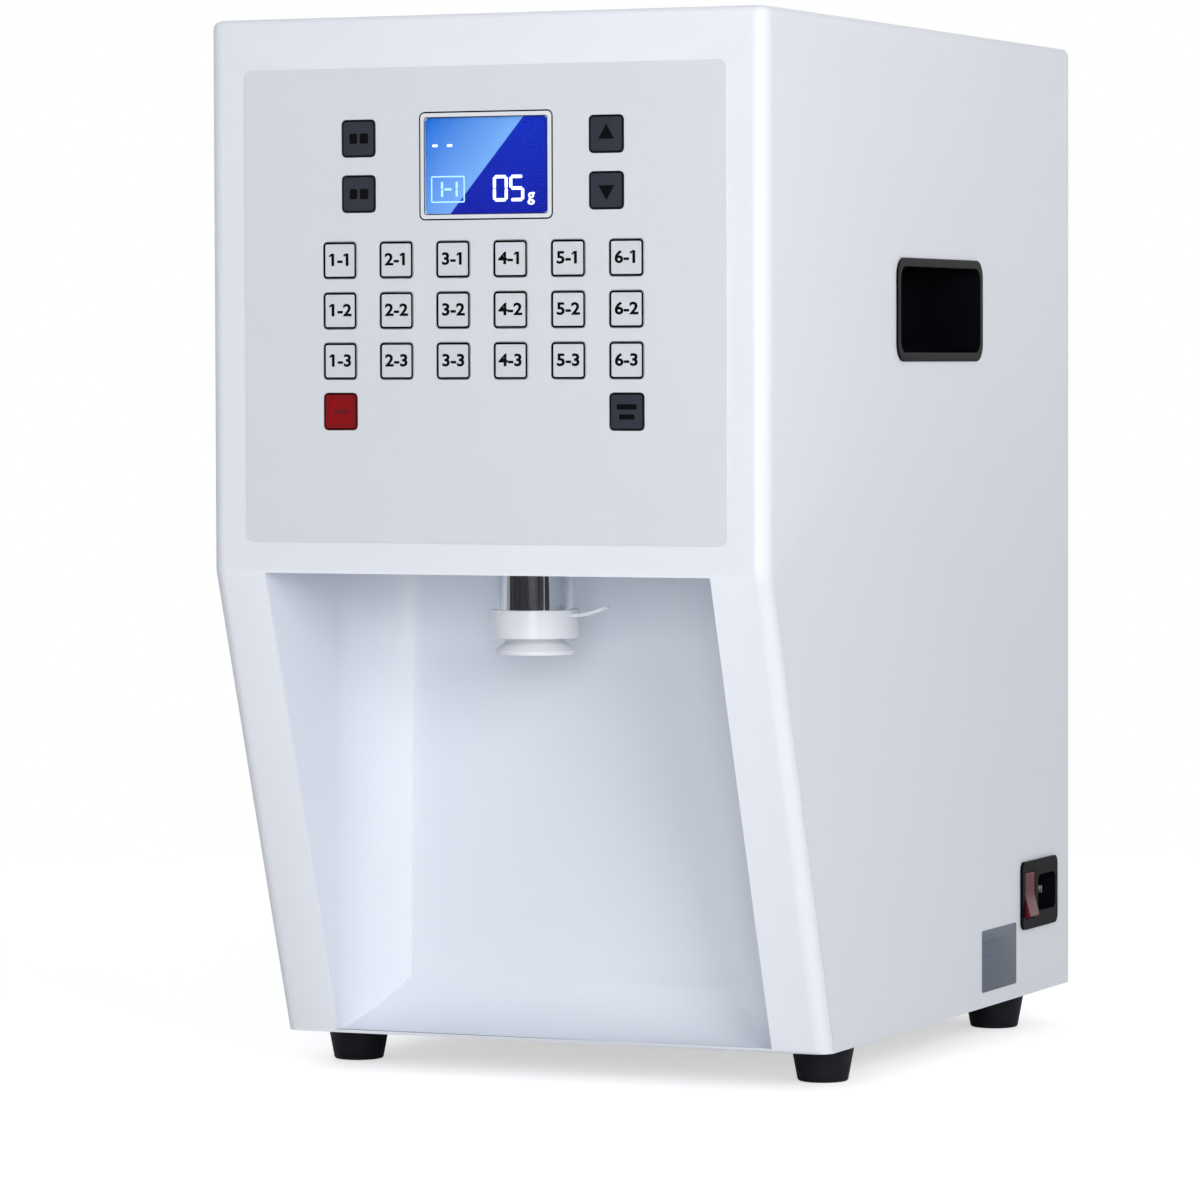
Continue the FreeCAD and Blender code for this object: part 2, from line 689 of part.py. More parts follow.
def lid_opening():
    """The opening in the top: the lid's place with its gap, and the notch for a finger."""
    front = FRONT + LID_FRONT - LID_GAP
    length = OPENING_REAR - front
    opening = rounded_slab(
        "Z",
        0,
        front + length / 2,
        LID_WIDTH + 2 * LID_GAP,
        length,
        LID_CORNER + LID_GAP,
        LEDGE_TOP,
        TOP + CUT_PAST,
    )
    return opening.fuse(rod("Z", 0, front, NOTCH_RADIUS, LEDGE_TOP, TOP + CUT_PAST))


def lid_frame():
    """The rim under the top sheet with its ledge for the seal, and the finger cup."""
    front = FRONT + LID_FRONT - LID_GAP
    length = OPENING_REAR - front
    middle = front + length / 2
    low = LEDGE_TOP - SHEET
    wall = rounded_slab(
        "Z",
        0,
        middle,
        LID_WIDTH + 2 * LID_GAP + 2 * SHEET,
        length + 2 * SHEET,
        LID_CORNER + LID_GAP + SHEET,
        low,
        TOP - SHEET,
    )
    ledge_front = FRONT + LID_FRONT + SEAL_END_INSET + SEAL_WIDTH
    ledge_rear = LID_REAR - SEAL_END_INSET - SEAL_WIDTH
    access = rounded_slab(
        "Z",
        0,
        (ledge_front + ledge_rear) / 2,
        LID_WIDTH - 2 * SEAL_SIDE_INSET - 2 * SEAL_WIDTH,
        ledge_rear - ledge_front,
        LID_CORNER,
        low - CUT_PAST,
        TOP,
    )
    cup_rear = FRONT + LID_FRONT + SEAL_END_INSET - CUP_SEAL_ROOM
    cup_front = front - NOTCH_RADIUS
    cup_low = LEDGE_TOP - NOTCH_DEPTH
    cup_room = block(-NOTCH_RADIUS, NOTCH_RADIUS, cup_front, cup_rear, cup_low, TOP)
    cup_block = block(
        -NOTCH_RADIUS - SHEET,
        NOTCH_RADIUS + SHEET,
        cup_front - SHEET,
        cup_rear + SHEET,
        cup_low - SHEET,
        TOP - SHEET,
    )
    above_ledge = block(-SIDE, SIDE, cup_rear, BACK, LEDGE_TOP, TOP)
    opening = lid_opening()
    rim = wall.cut(access).cut(opening).cut(cup_block)
    cup = cup_block.cut(above_ledge).cut(opening).cut(cup_room)
    return Part.makeCompound(rim.Solids + cup.Solids)


def bay_liner():
    liner = bay_form(SHEET).cut(bay_form(0))
    liner = liner.common(cabinet_form(SHEET, BOTTOM - CUT_PAST, TOP, BACK))
    radius = OUTLET_RADIUS + OUTLET_HOLE_GAP
    return liner.cut(rod("Z", 0, OUTLET_Y, radius, OUTLET_END, FOLD_Z + 2 * SHEET))


def base_plate():
    low = BOTTOM + SHEET
    plate = cabinet_slice(SHEET + SEAT_GAP, low, low + SHEET, COVER_Y - SHEET - SEAT_GAP)
    return screw_holes(plate.cut(bay_form(SHEET)))


def rear_cover():
    cover = rounded_slab(
        "Y",
        0,
        (BOTTOM + TOP) / 2,
        WIDTH - 2 * SHEET - 2 * SEAT_GAP,
        CABINET_HEIGHT - 2 * SHEET - 2 * SEAT_GAP,
        TOP_RADIUS - SHEET,
        COVER_Y,
        COVER_Y + SHEET,
    )
    slots = []
    for side in (-1, 1):
        low_x = side * VENT_SPREAD - VENT_LENGTH / 2
        for row in range(VENT_ROWS):
            low_z = BOTTOM + VENT_UP + (row - (VENT_ROWS - 1) / 2) * VENT_PITCH - VENT_WIDTH / 2
            high_z = low_z + VENT_WIDTH
            slots.append(
                block(low_x, low_x + VENT_LENGTH, COVER_Y - CUT_PAST, BACK, low_z, high_z)
            )
    return screw_holes(cover.cut(Part.makeCompound(slots)))


# ---- lid and hinge
def knuckle_ends(number):
    """Where one hinge knuckle starts and stops, with its side gap."""
    length = HINGE_LENGTH / HINGE_KNUCKLES
    low = -HINGE_LENGTH / 2 + number * length
    return low + HINGE_GAP / 2, low + length - HINGE_GAP / 2


def hinge_leaf(first, leaf_low, leaf_high, y_low, y_high):
    """Every second knuckle of the hinge, each with its tab."""
    pieces = []
    for number in range(first, HINGE_KNUCKLES, 2):
        low, high = knuckle_ends(number)
        tab = block(low, high, y_low, y_high, leaf_low, leaf_high)
        knuckle = facet_rod("X", HINGE_Y, HINGE_Z, HINGE_RADIUS, low, high, HIDDEN_SIDES)
        pieces.append(knuckle.fuse(tab))
    return Part.makeCompound(pieces)


def cabinet_leaf():
    """The knuckles on the ledge with the pin that is crimped in them."""
    leaf = hinge_leaf(0, LEDGE_TOP, LEDGE_TOP + HINGE_LEAF, HINGE_Y, OPENING_REAR)
    half = HINGE_LENGTH / 2
    pin = rod("X", HINGE_Y, HINGE_Z, HINGE_PIN_RADIUS, -half, half)
    return joined(leaf.Solids + [pin])


def lid_leaf():
    under = TOP - LID_SHEET
    leaf = hinge_leaf(1, under - HINGE_LEAF, under, HINGE_Y - LEAF_LENGTH, HINGE_Y)
    bore = HINGE_PIN_RADIUS + SHAFT_GAP
    return leaf.cut(rod("X", HINGE_Y, HINGE_Z, bore, -HINGE_LENGTH, HINGE_LENGTH))


def top_lid():
    return rounded_slab(
        "Z", 0, LID_MIDDLE_Y, LID_WIDTH, LID_LENGTH, LID_CORNER, TOP - LID_SHEET, TOP
    )


def lid_seal():
    width = LID_WIDTH - 2 * SEAL_SIDE_INSET
    length = LID_LENGTH - 2 * SEAL_END_INSET
    sizes = ((width, length), (width - 2 * SEAL_WIDTH, length - 2 * SEAL_WIDTH))
    low = LEDGE_TOP
    high = TOP - LID_SHEET
    rings = [
        rounded_slab("Z", 0, LID_MIDDLE_Y, a, b, LID_CORNER, low, high) for a, b in sizes
    ]
    return rings[0].cut(rings[1])


# ---- keypad and display
def keypad_overlay():
    sheet = cut_slab(
        "Y",
        0,
        OVERLAY_MIDDLE,
        OVERLAY_WIDTH,
        OVERLAY_TOP - OVERLAY_BOTTOM,
        OVERLAY_CORNER,
        FRONT - OVERLAY_THICK,
        FRONT,
    )
    size = KEY_SIZE + 2 * KEY_GAP
    corner = KEY_CORNER + KEY_GAP
    low = FRONT - CUT_PAST
    high = FRONT + CUT_PAST
    cutters = [cut_slab("Y", x, z, size, size, corner, low, high) for x, z in KEYS.values()]
    cutters.append(display_block(DISPLAY_WIDTH, DISPLAY_HEIGHT, low, high))
    return sheet.cut(Part.makeCompound(cutters))


def key_cap(x, z):
    """A square cap with a flange behind the panel and a stem that meets its switch."""
    front = FRONT - OVERLAY_THICK - KEY_PROUD
    behind = PANEL_BACK + SMALL_GAP
    cap = cut_slab("Y", x, z, KEY_SIZE, KEY_SIZE, KEY_CORNER, front, behind)
    half = KEY_SIZE / 2 + KEY_FLANGE
    flange_back = behind + KEY_FLANGE_THICK
    flange = block(x - half, x + half, behind, flange_back, z - half, z + half)
    half = KEY_STEM_SIZE / 2
    stem_back = flange_back + KEY_STEM
    stem = block(x - half, x + half, flange_back, stem_back, z - half, z + half)
    return cap.fuse(flange).fuse(stem)


def key_switches():
    switches = []
    half = SWITCH_SIZE / 2
    tip = PLUNGER_SIZE / 2
    body_front = BOARD_FRONT - SWITCH_HEIGHT
    for x, z in KEYS.values():
        body = block(x - half, x + half, body_front, BOARD_FRONT, z - half, z + half)
        plunger = block(x - tip, x + tip, body_front - PLUNGER, body_front, z - tip, z + tip)
        switches.append(body.fuse(plunger))
    return switches


def display_block(width, height, low, high):
    return rounded_slab("Y", DISPLAY_X, DISPLAY_Z, width, height, BEZEL_CORNER, low, high)


def display_bezel():
    front = FRONT - BEZEL_THICK
    opening = display_block(
        DISPLAY_WIDTH - 2 * BEZEL_BORDER,
        DISPLAY_HEIGHT - 2 * BEZEL_BORDER,
        front - CUT_PAST,
        FRONT + CUT_PAST,
    )
    return display_block(DISPLAY_WIDTH, DISPLAY_HEIGHT, front, FRONT).cut(opening)


def screen_size(gap):
    border = 2 * (BEZEL_BORDER + gap)
    return DISPLAY_WIDTH - border, DISPLAY_HEIGHT - border


def display_window():
    """The clear window, glued in the bezel's opening."""
    width, height = screen_size(0)
    return display_block(width, height, FRONT - WINDOW_THICK, FRONT)


def lcd_module():
    """The display behind the window: its glass, its frame behind the panel, and its back."""
    width, height = screen_size(SMALL_GAP)
    glass = display_block(width, height, FRONT + LCD_RECESS, PANEL_BACK)
    frame_width = DISPLAY_WIDTH + 2 * LCD_BORDER
    frame_height = DISPLAY_HEIGHT + 2 * LCD_BORDER
    frame_back = PANEL_BACK + LCD_FRAME_THICK
    frame = display_block(frame_width, frame_height, PANEL_BACK, frame_back)
    back = display_block(width, height, frame_back, BOARD_FRONT)
    return glass.fuse(frame).fuse(back)


def control_board():
    """The board on its four posts, with its chip and plug, and the small push switches."""
    half_width = BOARD_WIDTH / 2
    board = block(-half_width, half_width, BOARD_FRONT, BOARD_BACK, BOARD_BOTTOM, BOARD_TOP)
    half = POST_SIZE / 2
    for x in (-half_width + POST_INSET, half_width - POST_INSET):
        for z in (BOARD_BOTTOM + POST_INSET, BOARD_TOP - POST_INSET):
            post = block(x - half, x + half, PANEL_BACK, BOARD_FRONT, z - half, z + half)
            board = board.fuse(post)
    half = CHIP_SIZE / 2
    middle = (BOARD_BOTTOM + BOARD_TOP) / 2
    chip_back = BOARD_BACK + CHIP_THICK
    chip = block(-half, half, BOARD_BACK, chip_back, middle - half, middle + half)
    half = PLUG_LENGTH / 2
    plug_low = BOARD_BOTTOM + PLUG_HEIGHT
    plug_back = BOARD_BACK + PLUG_DEPTH
    plug = block(-half, half, BOARD_BACK, plug_back, plug_low, plug_low + PLUG_HEIGHT)
    return joined([board, chip, plug] + key_switches())


# ---- side grips and power unit
def side_grip():
    """A cup set in the side: a lip outside the sheet and a scooped pocket for the fingers."""
    length = GRIP_LENGTH - 2 * GRIP_LIP - 2 * SMALL_GAP
    height = GRIP_HEIGHT - 2 * GRIP_LIP - 2 * SMALL_GAP
    lip = rounded_slab(
        "X",
        GRIP_MIDDLE_Y,
        GRIP_MIDDLE_Z,
        GRIP_LENGTH,
        GRIP_HEIGHT,
        GRIP_CORNER + GRIP_LIP,
        SIDE,
        SIDE + GRIP_LIP_THICK,
    )
    outside = scooped_block(length, height, GRIP_SCOOP + GRIP_WALL, SIDE - GRIP_DEPTH, SIDE)
    room = scooped_block(
        length - 2 * GRIP_WALL,
        height - 2 * GRIP_WALL,
        GRIP_SCOOP,
        SIDE - GRIP_DEPTH + GRIP_WALL,
        SIDE + 2 * GRIP_LIP_THICK,
    )
    return lip.fuse(outside).cut(room)


def scooped_block(length, height, scoop, low, high):
    """A block whose inner lower edge is swept round, for the side grip."""
    form = rounded_slab(
        "X", GRIP_MIDDLE_Y, GRIP_MIDDLE_Z, length, height, GRIP_CORNER - SMALL_GAP, low, high
    )
    bottom = GRIP_MIDDLE_Z - height / 2
    corner = block(low - CUT_PAST, low + scoop, FRONT, BACK, bottom - CUT_PAST, bottom + scoop)
    round_part = rod("Y", low + scoop, bottom + scoop, scoop, FRONT, BACK)
    return form.cut(corner.cut(round_part))


def power_unit():
    """The socket and switch unit: a lipped frame, the switch's well and the three-pin inlet."""
    length = POWER_LENGTH - 2 * POWER_LIP - 2 * SMALL_GAP
    height = POWER_HEIGHT - 2 * POWER_LIP - 2 * SMALL_GAP
    back = SIDE - POWER_DEPTH
    front = SIDE + POWER_LIP_THICK
    lip = rounded_slab(
        "X", POWER_MIDDLE_Y, POWER_MIDDLE_Z, POWER_LENGTH, POWER_HEIGHT, POWER_CORNER, SIDE, front
    )
    body = rounded_slab(
        "X", POWER_MIDDLE_Y, POWER_MIDDLE_Z, length, height, POWER_CORNER, back, SIDE
    )
    unit = lip.fuse(body)
    well_half = ROCKER_LENGTH / 2 + ROCKER_GAP
    well_height = ROCKER_RADIUS + ROCKER_GAP
    well = block(
        ROCKER_X - ROCKER_BACK - ROCKER_BACK_ROOM,
        front + CUT_PAST,
        ROCKER_Y - well_half,
        ROCKER_Y + well_half,
        POWER_MIDDLE_Z - well_height,
        POWER_MIDDLE_Z + well_height,
    )
    pivot_reach = ROCKER_LENGTH / 2 + ROCKER_PIVOT + ROCKER_GAP
    pivot = rod(
        "Y",
        ROCKER_X,
        POWER_MIDDLE_Z,
        ROCKER_PIVOT_RADIUS + SHAFT_GAP,
        ROCKER_Y - pivot_reach,
        ROCKER_Y + pivot_reach,
    )
    socket = rounded_slab(
        "X", INLET_Y, POWER_MIDDLE_Z, INLET_LENGTH, INLET_HEIGHT, INLET_CORNER, front - INLET_DEPTH, FAR
    )
    unit = unit.cut(well).cut(pivot).cut(socket)
    for across, raise_by in ((-BLADE_SPREAD, 0), (0, BLADE_RAISE), (BLADE_SPREAD, 0)):
        floor = front - INLET_DEPTH
        y = INLET_Y + across
        z = POWER_MIDDLE_Z + raise_by
        blade = block(
            floor,
            floor + BLADE_LENGTH,
            y - BLADE_THICK / 2,
            y + BLADE_THICK / 2,
            z - BLADE_WIDTH / 2,
            z + BLADE_WIDTH / 2,
        )
        unit = unit.fuse(blade)
    return unit


def power_rocker():
    """A paddle with a shallow valley across its face, resting with its upper half pressed in."""
    half = ROCKER_LENGTH / 2
    face = SIDE + POWER_LIP_THICK
    paddle = rod("Y", ROCKER_X, POWER_MIDDLE_Z, ROCKER_RADIUS, ROCKER_Y - half, ROCKER_Y + half)
    rise = ROCKER_RADIUS * math.tan(math.radians(ROCKER_TILT))
    outline = [
        (ROCKER_X - ROCKER_BACK, POWER_MIDDLE_Z - ROCKER_RADIUS),
        (face + rise, POWER_MIDDLE_Z - ROCKER_RADIUS),
        (face, POWER_MIDDLE_Z),
        (face + rise, POWER_MIDDLE_Z + ROCKER_RADIUS),
        (ROCKER_X - ROCKER_BACK, POWER_MIDDLE_Z + ROCKER_RADIUS),
    ]
    paddle = paddle.common(prism("Y", outline, ROCKER_Y - half, ROCKER_Y + half))
    reach = half + ROCKER_PIVOT
    pivot = rod(
        "Y", ROCKER_X, POWER_MIDDLE_Z, ROCKER_PIVOT_RADIUS, ROCKER_Y - reach, ROCKER_Y + reach
    )
    paddle = paddle.fuse(pivot)
    paddle.rotate(Vector(ROCKER_X, ROCKER_Y, POWER_MIDDLE_Z), Vector(0, 1, 0), -ROCKER_TILT)
    return paddle


# ---- hopper, auger and agitator wheel
def hopper():
    """The powder bin: its sloping lower sheet, and the upright walls welded on it."""
    bin_outside = hopper_form(HOPPER_WALL, HOPPER_FRONT, HOPPER_BACK)
    bin_inside = hopper_form(0, HOPPER_FRONT + HOPPER_WALL, HOPPER_BACK - HOPPER_WALL)
    half = HOPPER_WIDTH / 2
    rim = block(
        -half - HOPPER_RIM,
        half + HOPPER_RIM,
        HOPPER_FRONT,
        HOPPER_BACK,
        HOPPER_TOP - HOPPER_RIM_THICK,
        HOPPER_TOP,
    )
    bosses = axle_boss().common(bin_outside)
    bin_inside = bin_inside.cut(bosses.fuse(mirrored(bosses)))
    shape = bin_outside.fuse(rim).cut(bin_inside)
    tube_hole = rod("Y", 0, AUGER_Z, TUBE_BORE, HOPPER_FRONT - CUT_PAST, HOPPER_FRONT + HOPPER_WALL)
    inside_back = HOPPER_BACK - HOPPER_WALL - CUT_PAST
    bush_hole = rod("Y", 0, AUGER_Z, SEAL_BUSH_RADIUS, inside_back, HOPPER_BACK + CUT_PAST)
    axle = rod("X", WHEEL_Y, WHEEL_Z, AXLE_RADIUS, -axle_reach(), axle_reach())
    shape = shape.cut(tube_hole).cut(bush_hole).cut(axle)
    upper = block(-SIDE, SIDE, FRONT, BACK, hopper_bend(HOPPER_WALL), TOP)
    return Part.makeCompound(shape.cut(upper).Solids + shape.common(upper).Solids)


def axle_reach():
    return AXLE_BOSS_INSIDE + AXLE_BOSS_RADIUS


def axle_boss():
    return rod("X", WHEEL_Y, WHEEL_Z, AXLE_BOSS_RADIUS, AXLE_BOSS_INSIDE, HOPPER_WIDTH)


def shaft_seal():
    """The bush in the hopper's back wall that the auger's shaft turns in."""
    inside = HOPPER_BACK - HOPPER_WALL
    flange_end = HOPPER_BACK + SEAL_BUSH_THICK
    body = rod("Y", 0, AUGER_Z, SEAL_BUSH_RADIUS, inside, HOPPER_BACK)
    flange = facet_rod("Y", 0, AUGER_Z, SEAL_BUSH_FLANGE, HOPPER_BACK, flange_end, HIDDEN_SIDES)
    return body.fuse(flange).cut(rod("Y", 0, AUGER_Z, AUGER_CORE + SHAFT_GAP, inside, flange_end))


def auger():
    """A shaft with a helical flight; turning it carries powder to the front."""
    root = AUGER_CORE - FLIGHT_ROOTED
    section = [
        (root, -FLIGHT_THICK / 2),
        (AUGER_RADIUS, -FLIGHT_RIM / 2),
        (AUGER_RADIUS, FLIGHT_RIM / 2),
        (root, FLIGHT_THICK / 2),
    ]
    rings = []
    for number in range(FLIGHT_TURNS * FLIGHT_FACETS + 1):
        angle = math.radians(flight_angle() + number * 360.0 / FLIGHT_FACETS)
        y = OUTLET_Y + number * AUGER_PITCH / FLIGHT_FACETS
        ring = [
            Vector(radius * math.cos(angle), y + along, AUGER_Z - radius * math.sin(angle))
            for radius, along in section
        ]
        rings.append(ring)
    faces = [flat(rings[0]), flat(rings[-1])]
    for near, far in zip(rings, rings[1:]):
        for corner in range(len(section)):
            following = (corner + 1) % len(section)
            faces.append(flat([near[corner], near[following], far[following]]))
            faces.append(flat([near[corner], far[following], far[corner]]))
    flight = Part.makeSolid(Part.makeShell(faces))
    if flight.Volume < 0:
        flight.reverse()
    core = [
        (AUGER_CORE * math.cos(angle), AUGER_Z - AUGER_CORE * math.sin(angle))
        for angle in [
            math.radians(flight_angle() + number * 360.0 / FLIGHT_FACETS)
            for number in range(FLIGHT_FACETS)
        ]
    ]
    flight_end = OUTLET_Y + FLIGHT_TURNS * AUGER_PITCH + FLIGHT_THICK
    start = OUTLET_Y - SHAFT_PAST_FLIGHT
    journal = rod("Y", 0, AUGER_Z, AUGER_CORE, flight_end, COUPLING_Y)
    return prism("Y", core, start, flight_end).fuse(flight).fuse(journal)


def flat(corners):
    return Part.Face(Part.makePolygon(corners + corners[:1]))


def flight_angle():
    """Starts the flight so that a gap, and not a blade, is under the wheel's lowest tooth."""
    return 90.0 - 360.0 * (WHEEL_Y - OUTLET_Y) / AUGER_PITCH


def drive_coupling():
    """The driving dog on the auger's shaft, with the sleeve that turns in the gearbox."""
    dog_end = COUPLING_Y + COUPLING_LENGTH
    dog = facet_rod("Y", 0, AUGER_Z, COUPLING_RADIUS, COUPLING_Y, dog_end, HIDDEN_SIDES)
    return dog.fuse(rod("Y", 0, AUGER_Z, SLEEVE_RADIUS, dog_end, dog_end + SLEEVE_LENGTH))


def agitator_wheel():
    """A toothed wheel that the auger's flight turns, one tooth for each turn."""
    half = WHEEL_HUB_WIDTH / 2
    hub = facet_rod("X", WHEEL_Y, WHEEL_Z, WHEEL_HUB_RADIUS, -half, half, WHEEL_TEETH)
    rim_half = WHEEL_RIM_WIDTH / 2
    rim = facet_rod("X", WHEEL_Y, WHEEL_Z, WHEEL_RIM_RADIUS, -rim_half, rim_half, WHEEL_TEETH)
    inner = WHEEL_RIM_RADIUS - WHEEL_RIM_THICK
    rim = rim.cut(facet_rod("X", WHEEL_Y, WHEEL_Z, inner, -half, half, WHEEL_TEETH))
    wheel = hub.fuse(rim)
    low = WHEEL_HUB_RADIUS - TOOTH_ROOTED
    across = TOOTH_WIDTH / 2
    for number in range(WHEEL_TEETH):
        tooth = block(
            -across, across, WHEEL_Y - across, WHEEL_Y + across, WHEEL_Z - WHEEL_REACH, WHEEL_Z - low
        )
        angle = number * 360.0 / WHEEL_TEETH
        tooth.rotate(Vector(0, WHEEL_Y, WHEEL_Z), Vector(1, 0, 0), angle)
        wheel = wheel.fuse(tooth)
    return wheel.cut(rod("X", WHEEL_Y, WHEEL_Z, AXLE_RADIUS + SHAFT_GAP, -half, half))


def agitator_axle():
    """The axle with a shoulder ring on each side that keeps the wheel in the middle."""
    reach = axle_reach()
    axle = rod("X", WHEEL_Y, WHEEL_Z, AXLE_RADIUS, -reach, reach)
    inner = WHEEL_HUB_WIDTH / 2 + SEAT_GAP
    ring_end = inner + AXLE_RING
    ring = facet_rod("X", WHEEL_Y, WHEEL_Z, AXLE_RING_RADIUS, inner, ring_end, WHEEL_TEETH)
    return axle.fuse(ring).fuse(mirrored(ring))


# ---- outlet
def auger_tube():
    """The level tube that the auger pushes powder through, open downwards at the outlet."""
    closed = TUBE_FRONT + TUBE_WALL
    body = rod("Y", 0, AUGER_Z, TUBE_RADIUS, TUBE_FRONT, HOPPER_FRONT)
    flange = rod("Y", 0, AUGER_Z, TUBE_FLANGE_RADIUS, HOPPER_FRONT - TUBE_FLANGE, HOPPER_FRONT)
    low = FOLD_Z + SHEET + SEAT_GAP
    flange = flange.common(block(-SIDE, SIDE, FRONT, BACK, low, TOP))
    bore = rod("Y", 0, AUGER_Z, TUBE_BORE, closed, HOPPER_FRONT + CUT_PAST)
    drop = rod("Z", 0, OUTLET_Y, OUTLET_RADIUS - OUTLET_WALL, BOTTOM, AUGER_Z)
    return body.fuse(flange).cut(bore).cut(drop)


def outlet_tube():
    pipe = tube(
        "Z", 0, OUTLET_Y, OUTLET_RADIUS, OUTLET_RADIUS - OUTLET_WALL, OUTLET_END, AUGER_Z
    )
    return pipe.cut(rod("Y", 0, AUGER_Z, TUBE_RADIUS, TUBE_FRONT - CUT_PAST, HOPPER_FRONT))


def outlet_nozzle():
    """The white spout: a flange under the pipe, a neck, and a thin flare at its end."""
    neck = NOZZLE_NECK_RADIUS
    inside = neck - NOZZLE_WALL
    flange_bottom = OUTLET_END - NOZZLE_FLANGE
    return turned(
        "Z",
        0,
        OUTLET_Y,
        [
            (OUTLET_RADIUS - OUTLET_WALL, OUTLET_END),
            (OUTLET_RADIUS, OUTLET_END),
            (OUTLET_RADIUS, flange_bottom),
            (neck, flange_bottom),
            (neck, NOZZLE_FLARE_TOP + NOZZLE_FLARE_RISE),
            (NOZZLE_FLARE_RADIUS, NOZZLE_FLARE_TOP),
            (NOZZLE_FLARE_RADIUS, NOZZLE_END),
            (inside, NOZZLE_END),
            (inside, flange_bottom),
        ],
    )


def outlet_collar():
    """The locking ring that holds the spout up, with its thumb tab."""
    inner = OUTLET_RADIUS + COLLAR_GAP
    lip_top = OUTLET_END - NOZZLE_FLANGE - COLLAR_LIFT_GAP
    lip_inner = NOZZLE_NECK_RADIUS + COLLAR_LIFT_GAP
    ring = turned(
        "Z",
        0,
        OUTLET_Y,
        [
            (inner, lip_top),
            (inner, COLLAR_TOP),
            (COLLAR_RADIUS, COLLAR_TOP),
            (COLLAR_RADIUS, COLLAR_BOTTOM),
            (lip_inner, COLLAR_BOTTOM),
            (lip_inner, lip_top),
        ],
    )
    return ring.fuse(thumb_tab())


def thumb_tab():
    """A thin tongue that leaves the ring level and curls upwards to a round end."""
    start = COLLAR_RADIUS - TAB_ROOTED
    low = COLLAR_TOP - 2 * TAB_THICK
    middle = (start + TAB_REACH) / 2
    lower = Part.Arc(
        Vector(start, OUTLET_Y, low),
        Vector(middle, OUTLET_Y, low + TAB_RISE / 4),
        Vector(TAB_REACH, OUTLET_Y, low + TAB_RISE),
    ).toShape()
    upper = lower.copy()
    upper.translate(Vector(0, 0, TAB_THICK))
    ends = [
        Part.LineSegment(a.Point, b.Point).toShape()
        for a, b in zip(lower.Vertexes, upper.Vertexes)
    ]
    side = Part.Face(Part.Wire([lower, ends[1], upper, ends[0]]))
    side.translate(Vector(0, -TAB_WIDTH / 2, 0))
    tongue = side.extrude(Vector(0, TAB_WIDTH, 0))
    round_at = TAB_REACH - TAB_WIDTH / 2
    half = TAB_WIDTH / 2
    top = low + TAB_RISE + TAB_THICK
    plan = rod("Z", round_at, OUTLET_Y, half, low, top)
    plan = plan.fuse(block(start, round_at, OUTLET_Y - half, OUTLET_Y + half, low, top))
    return tongue.common(plan)


def cup_sensor():
    return rounded_slab(
        "Z",
        SENSOR_X,
        OUTLET_Y,
        SENSOR_LENGTH,
        SENSOR_WIDTH,
        SENSOR_CORNER,
        FOLD_Z - SENSOR_PROUD,
        FOLD_Z,
    )


# ---- drive and supply
def motor_bracket():
    half = SIDE - SHEET
    low = AUGER_Z - BRACKET_HEIGHT / 2
    high = AUGER_Z + BRACKET_HEIGHT / 2
    plate = block(-half, half, BRACKET_Y, GEARBOX_Y, low, high)
    wing = block(half - BRACKET_SHEET, half, BRACKET_Y, BRACKET_Y + BRACKET_FLANGE, low, high)
    hole_radius = COUPLING_RADIUS + COUPLING_TO_BRACKET
    hole = rod("Y", 0, AUGER_Z, hole_radius, BRACKET_Y, GEARBOX_Y)
    return plate.fuse(wing).fuse(mirrored(wing)).cut(hole)


def gear_motor():
    """The gearbox, the motor behind it and its terminal cap, with the bore for the sleeve."""
    box_end = GEARBOX_Y + GEARBOX_LENGTH
    motor_end = box_end + MOTOR_LENGTH
    cap_end = motor_end + MOTOR_CAP
    motor = joined(
        [
            facet_rod("Y", 0, AUGER_Z, GEARBOX_RADIUS, GEARBOX_Y, box_end, HIDDEN_SIDES),
            facet_rod("Y", 0, AUGER_Z, MOTOR_RADIUS, box_end, motor_end, HIDDEN_SIDES),
            facet_rod("Y", 0, AUGER_Z, MOTOR_CAP_RADIUS, motor_end, cap_end, HIDDEN_SIDES),
        ]
    )
    sleeve_end = COUPLING_Y + COUPLING_LENGTH + SLEEVE_LENGTH + SEAT_GAP
    return motor.cut(rod("Y", 0, AUGER_Z, SLEEVE_RADIUS + SHAFT_GAP, GEARBOX_Y, sleeve_end))


def power_supply():
    """The sheet-metal supply box on the base, with its terminal step."""
    low = BOTTOM + 2 * SHEET
    half_width = SUPPLY_WIDTH / 2
    half_length = SUPPLY_LENGTH / 2
    outline = [
        (SUPPLY_Y - half_length, low),
        (SUPPLY_Y + half_length + TERMINAL_DEPTH, low),
        (SUPPLY_Y + half_length + TERMINAL_DEPTH, low + SUPPLY_HEIGHT / 2),
        (SUPPLY_Y + half_length, low + SUPPLY_HEIGHT / 2),
        (SUPPLY_Y + half_length, low + SUPPLY_HEIGHT),
        (SUPPLY_Y - half_length, low + SUPPLY_HEIGHT),
    ]
    return prism("X", outline, -half_width, half_width)


# ---- feet and screws
def rubber_feet():
    """Tapered feet, each with a recess for the head of its screw."""
    feet = []
    hole = SCREW_RADIUS + SCREW_HOLE_GAP
    for x, y in FEET:
        outlines = [
            [spot("Z", a, b, z) for a, b in ring_points(x, y, radius, FOOT_SIDES)]
            for radius, z in ((FOOT_BOTTOM_RADIUS, 0), (FOOT_TOP_RADIUS, FOOT_HEIGHT))
        ]
        wires = [Part.makePolygon(corners + corners[:1]) for corners in outlines]
        foot = Part.makeLoft(wires, True, True)
        foot = foot.cut(facet_rod("Z", x, y, FOOT_RECESS_RADIUS, 0, FOOT_RECESS, SCREW_SIDES))
        feet.append(foot.cut(facet_rod("Z", x, y, hole, 0, FOOT_HEIGHT, SCREW_SIDES)))
    return Part.makeCompound(feet)


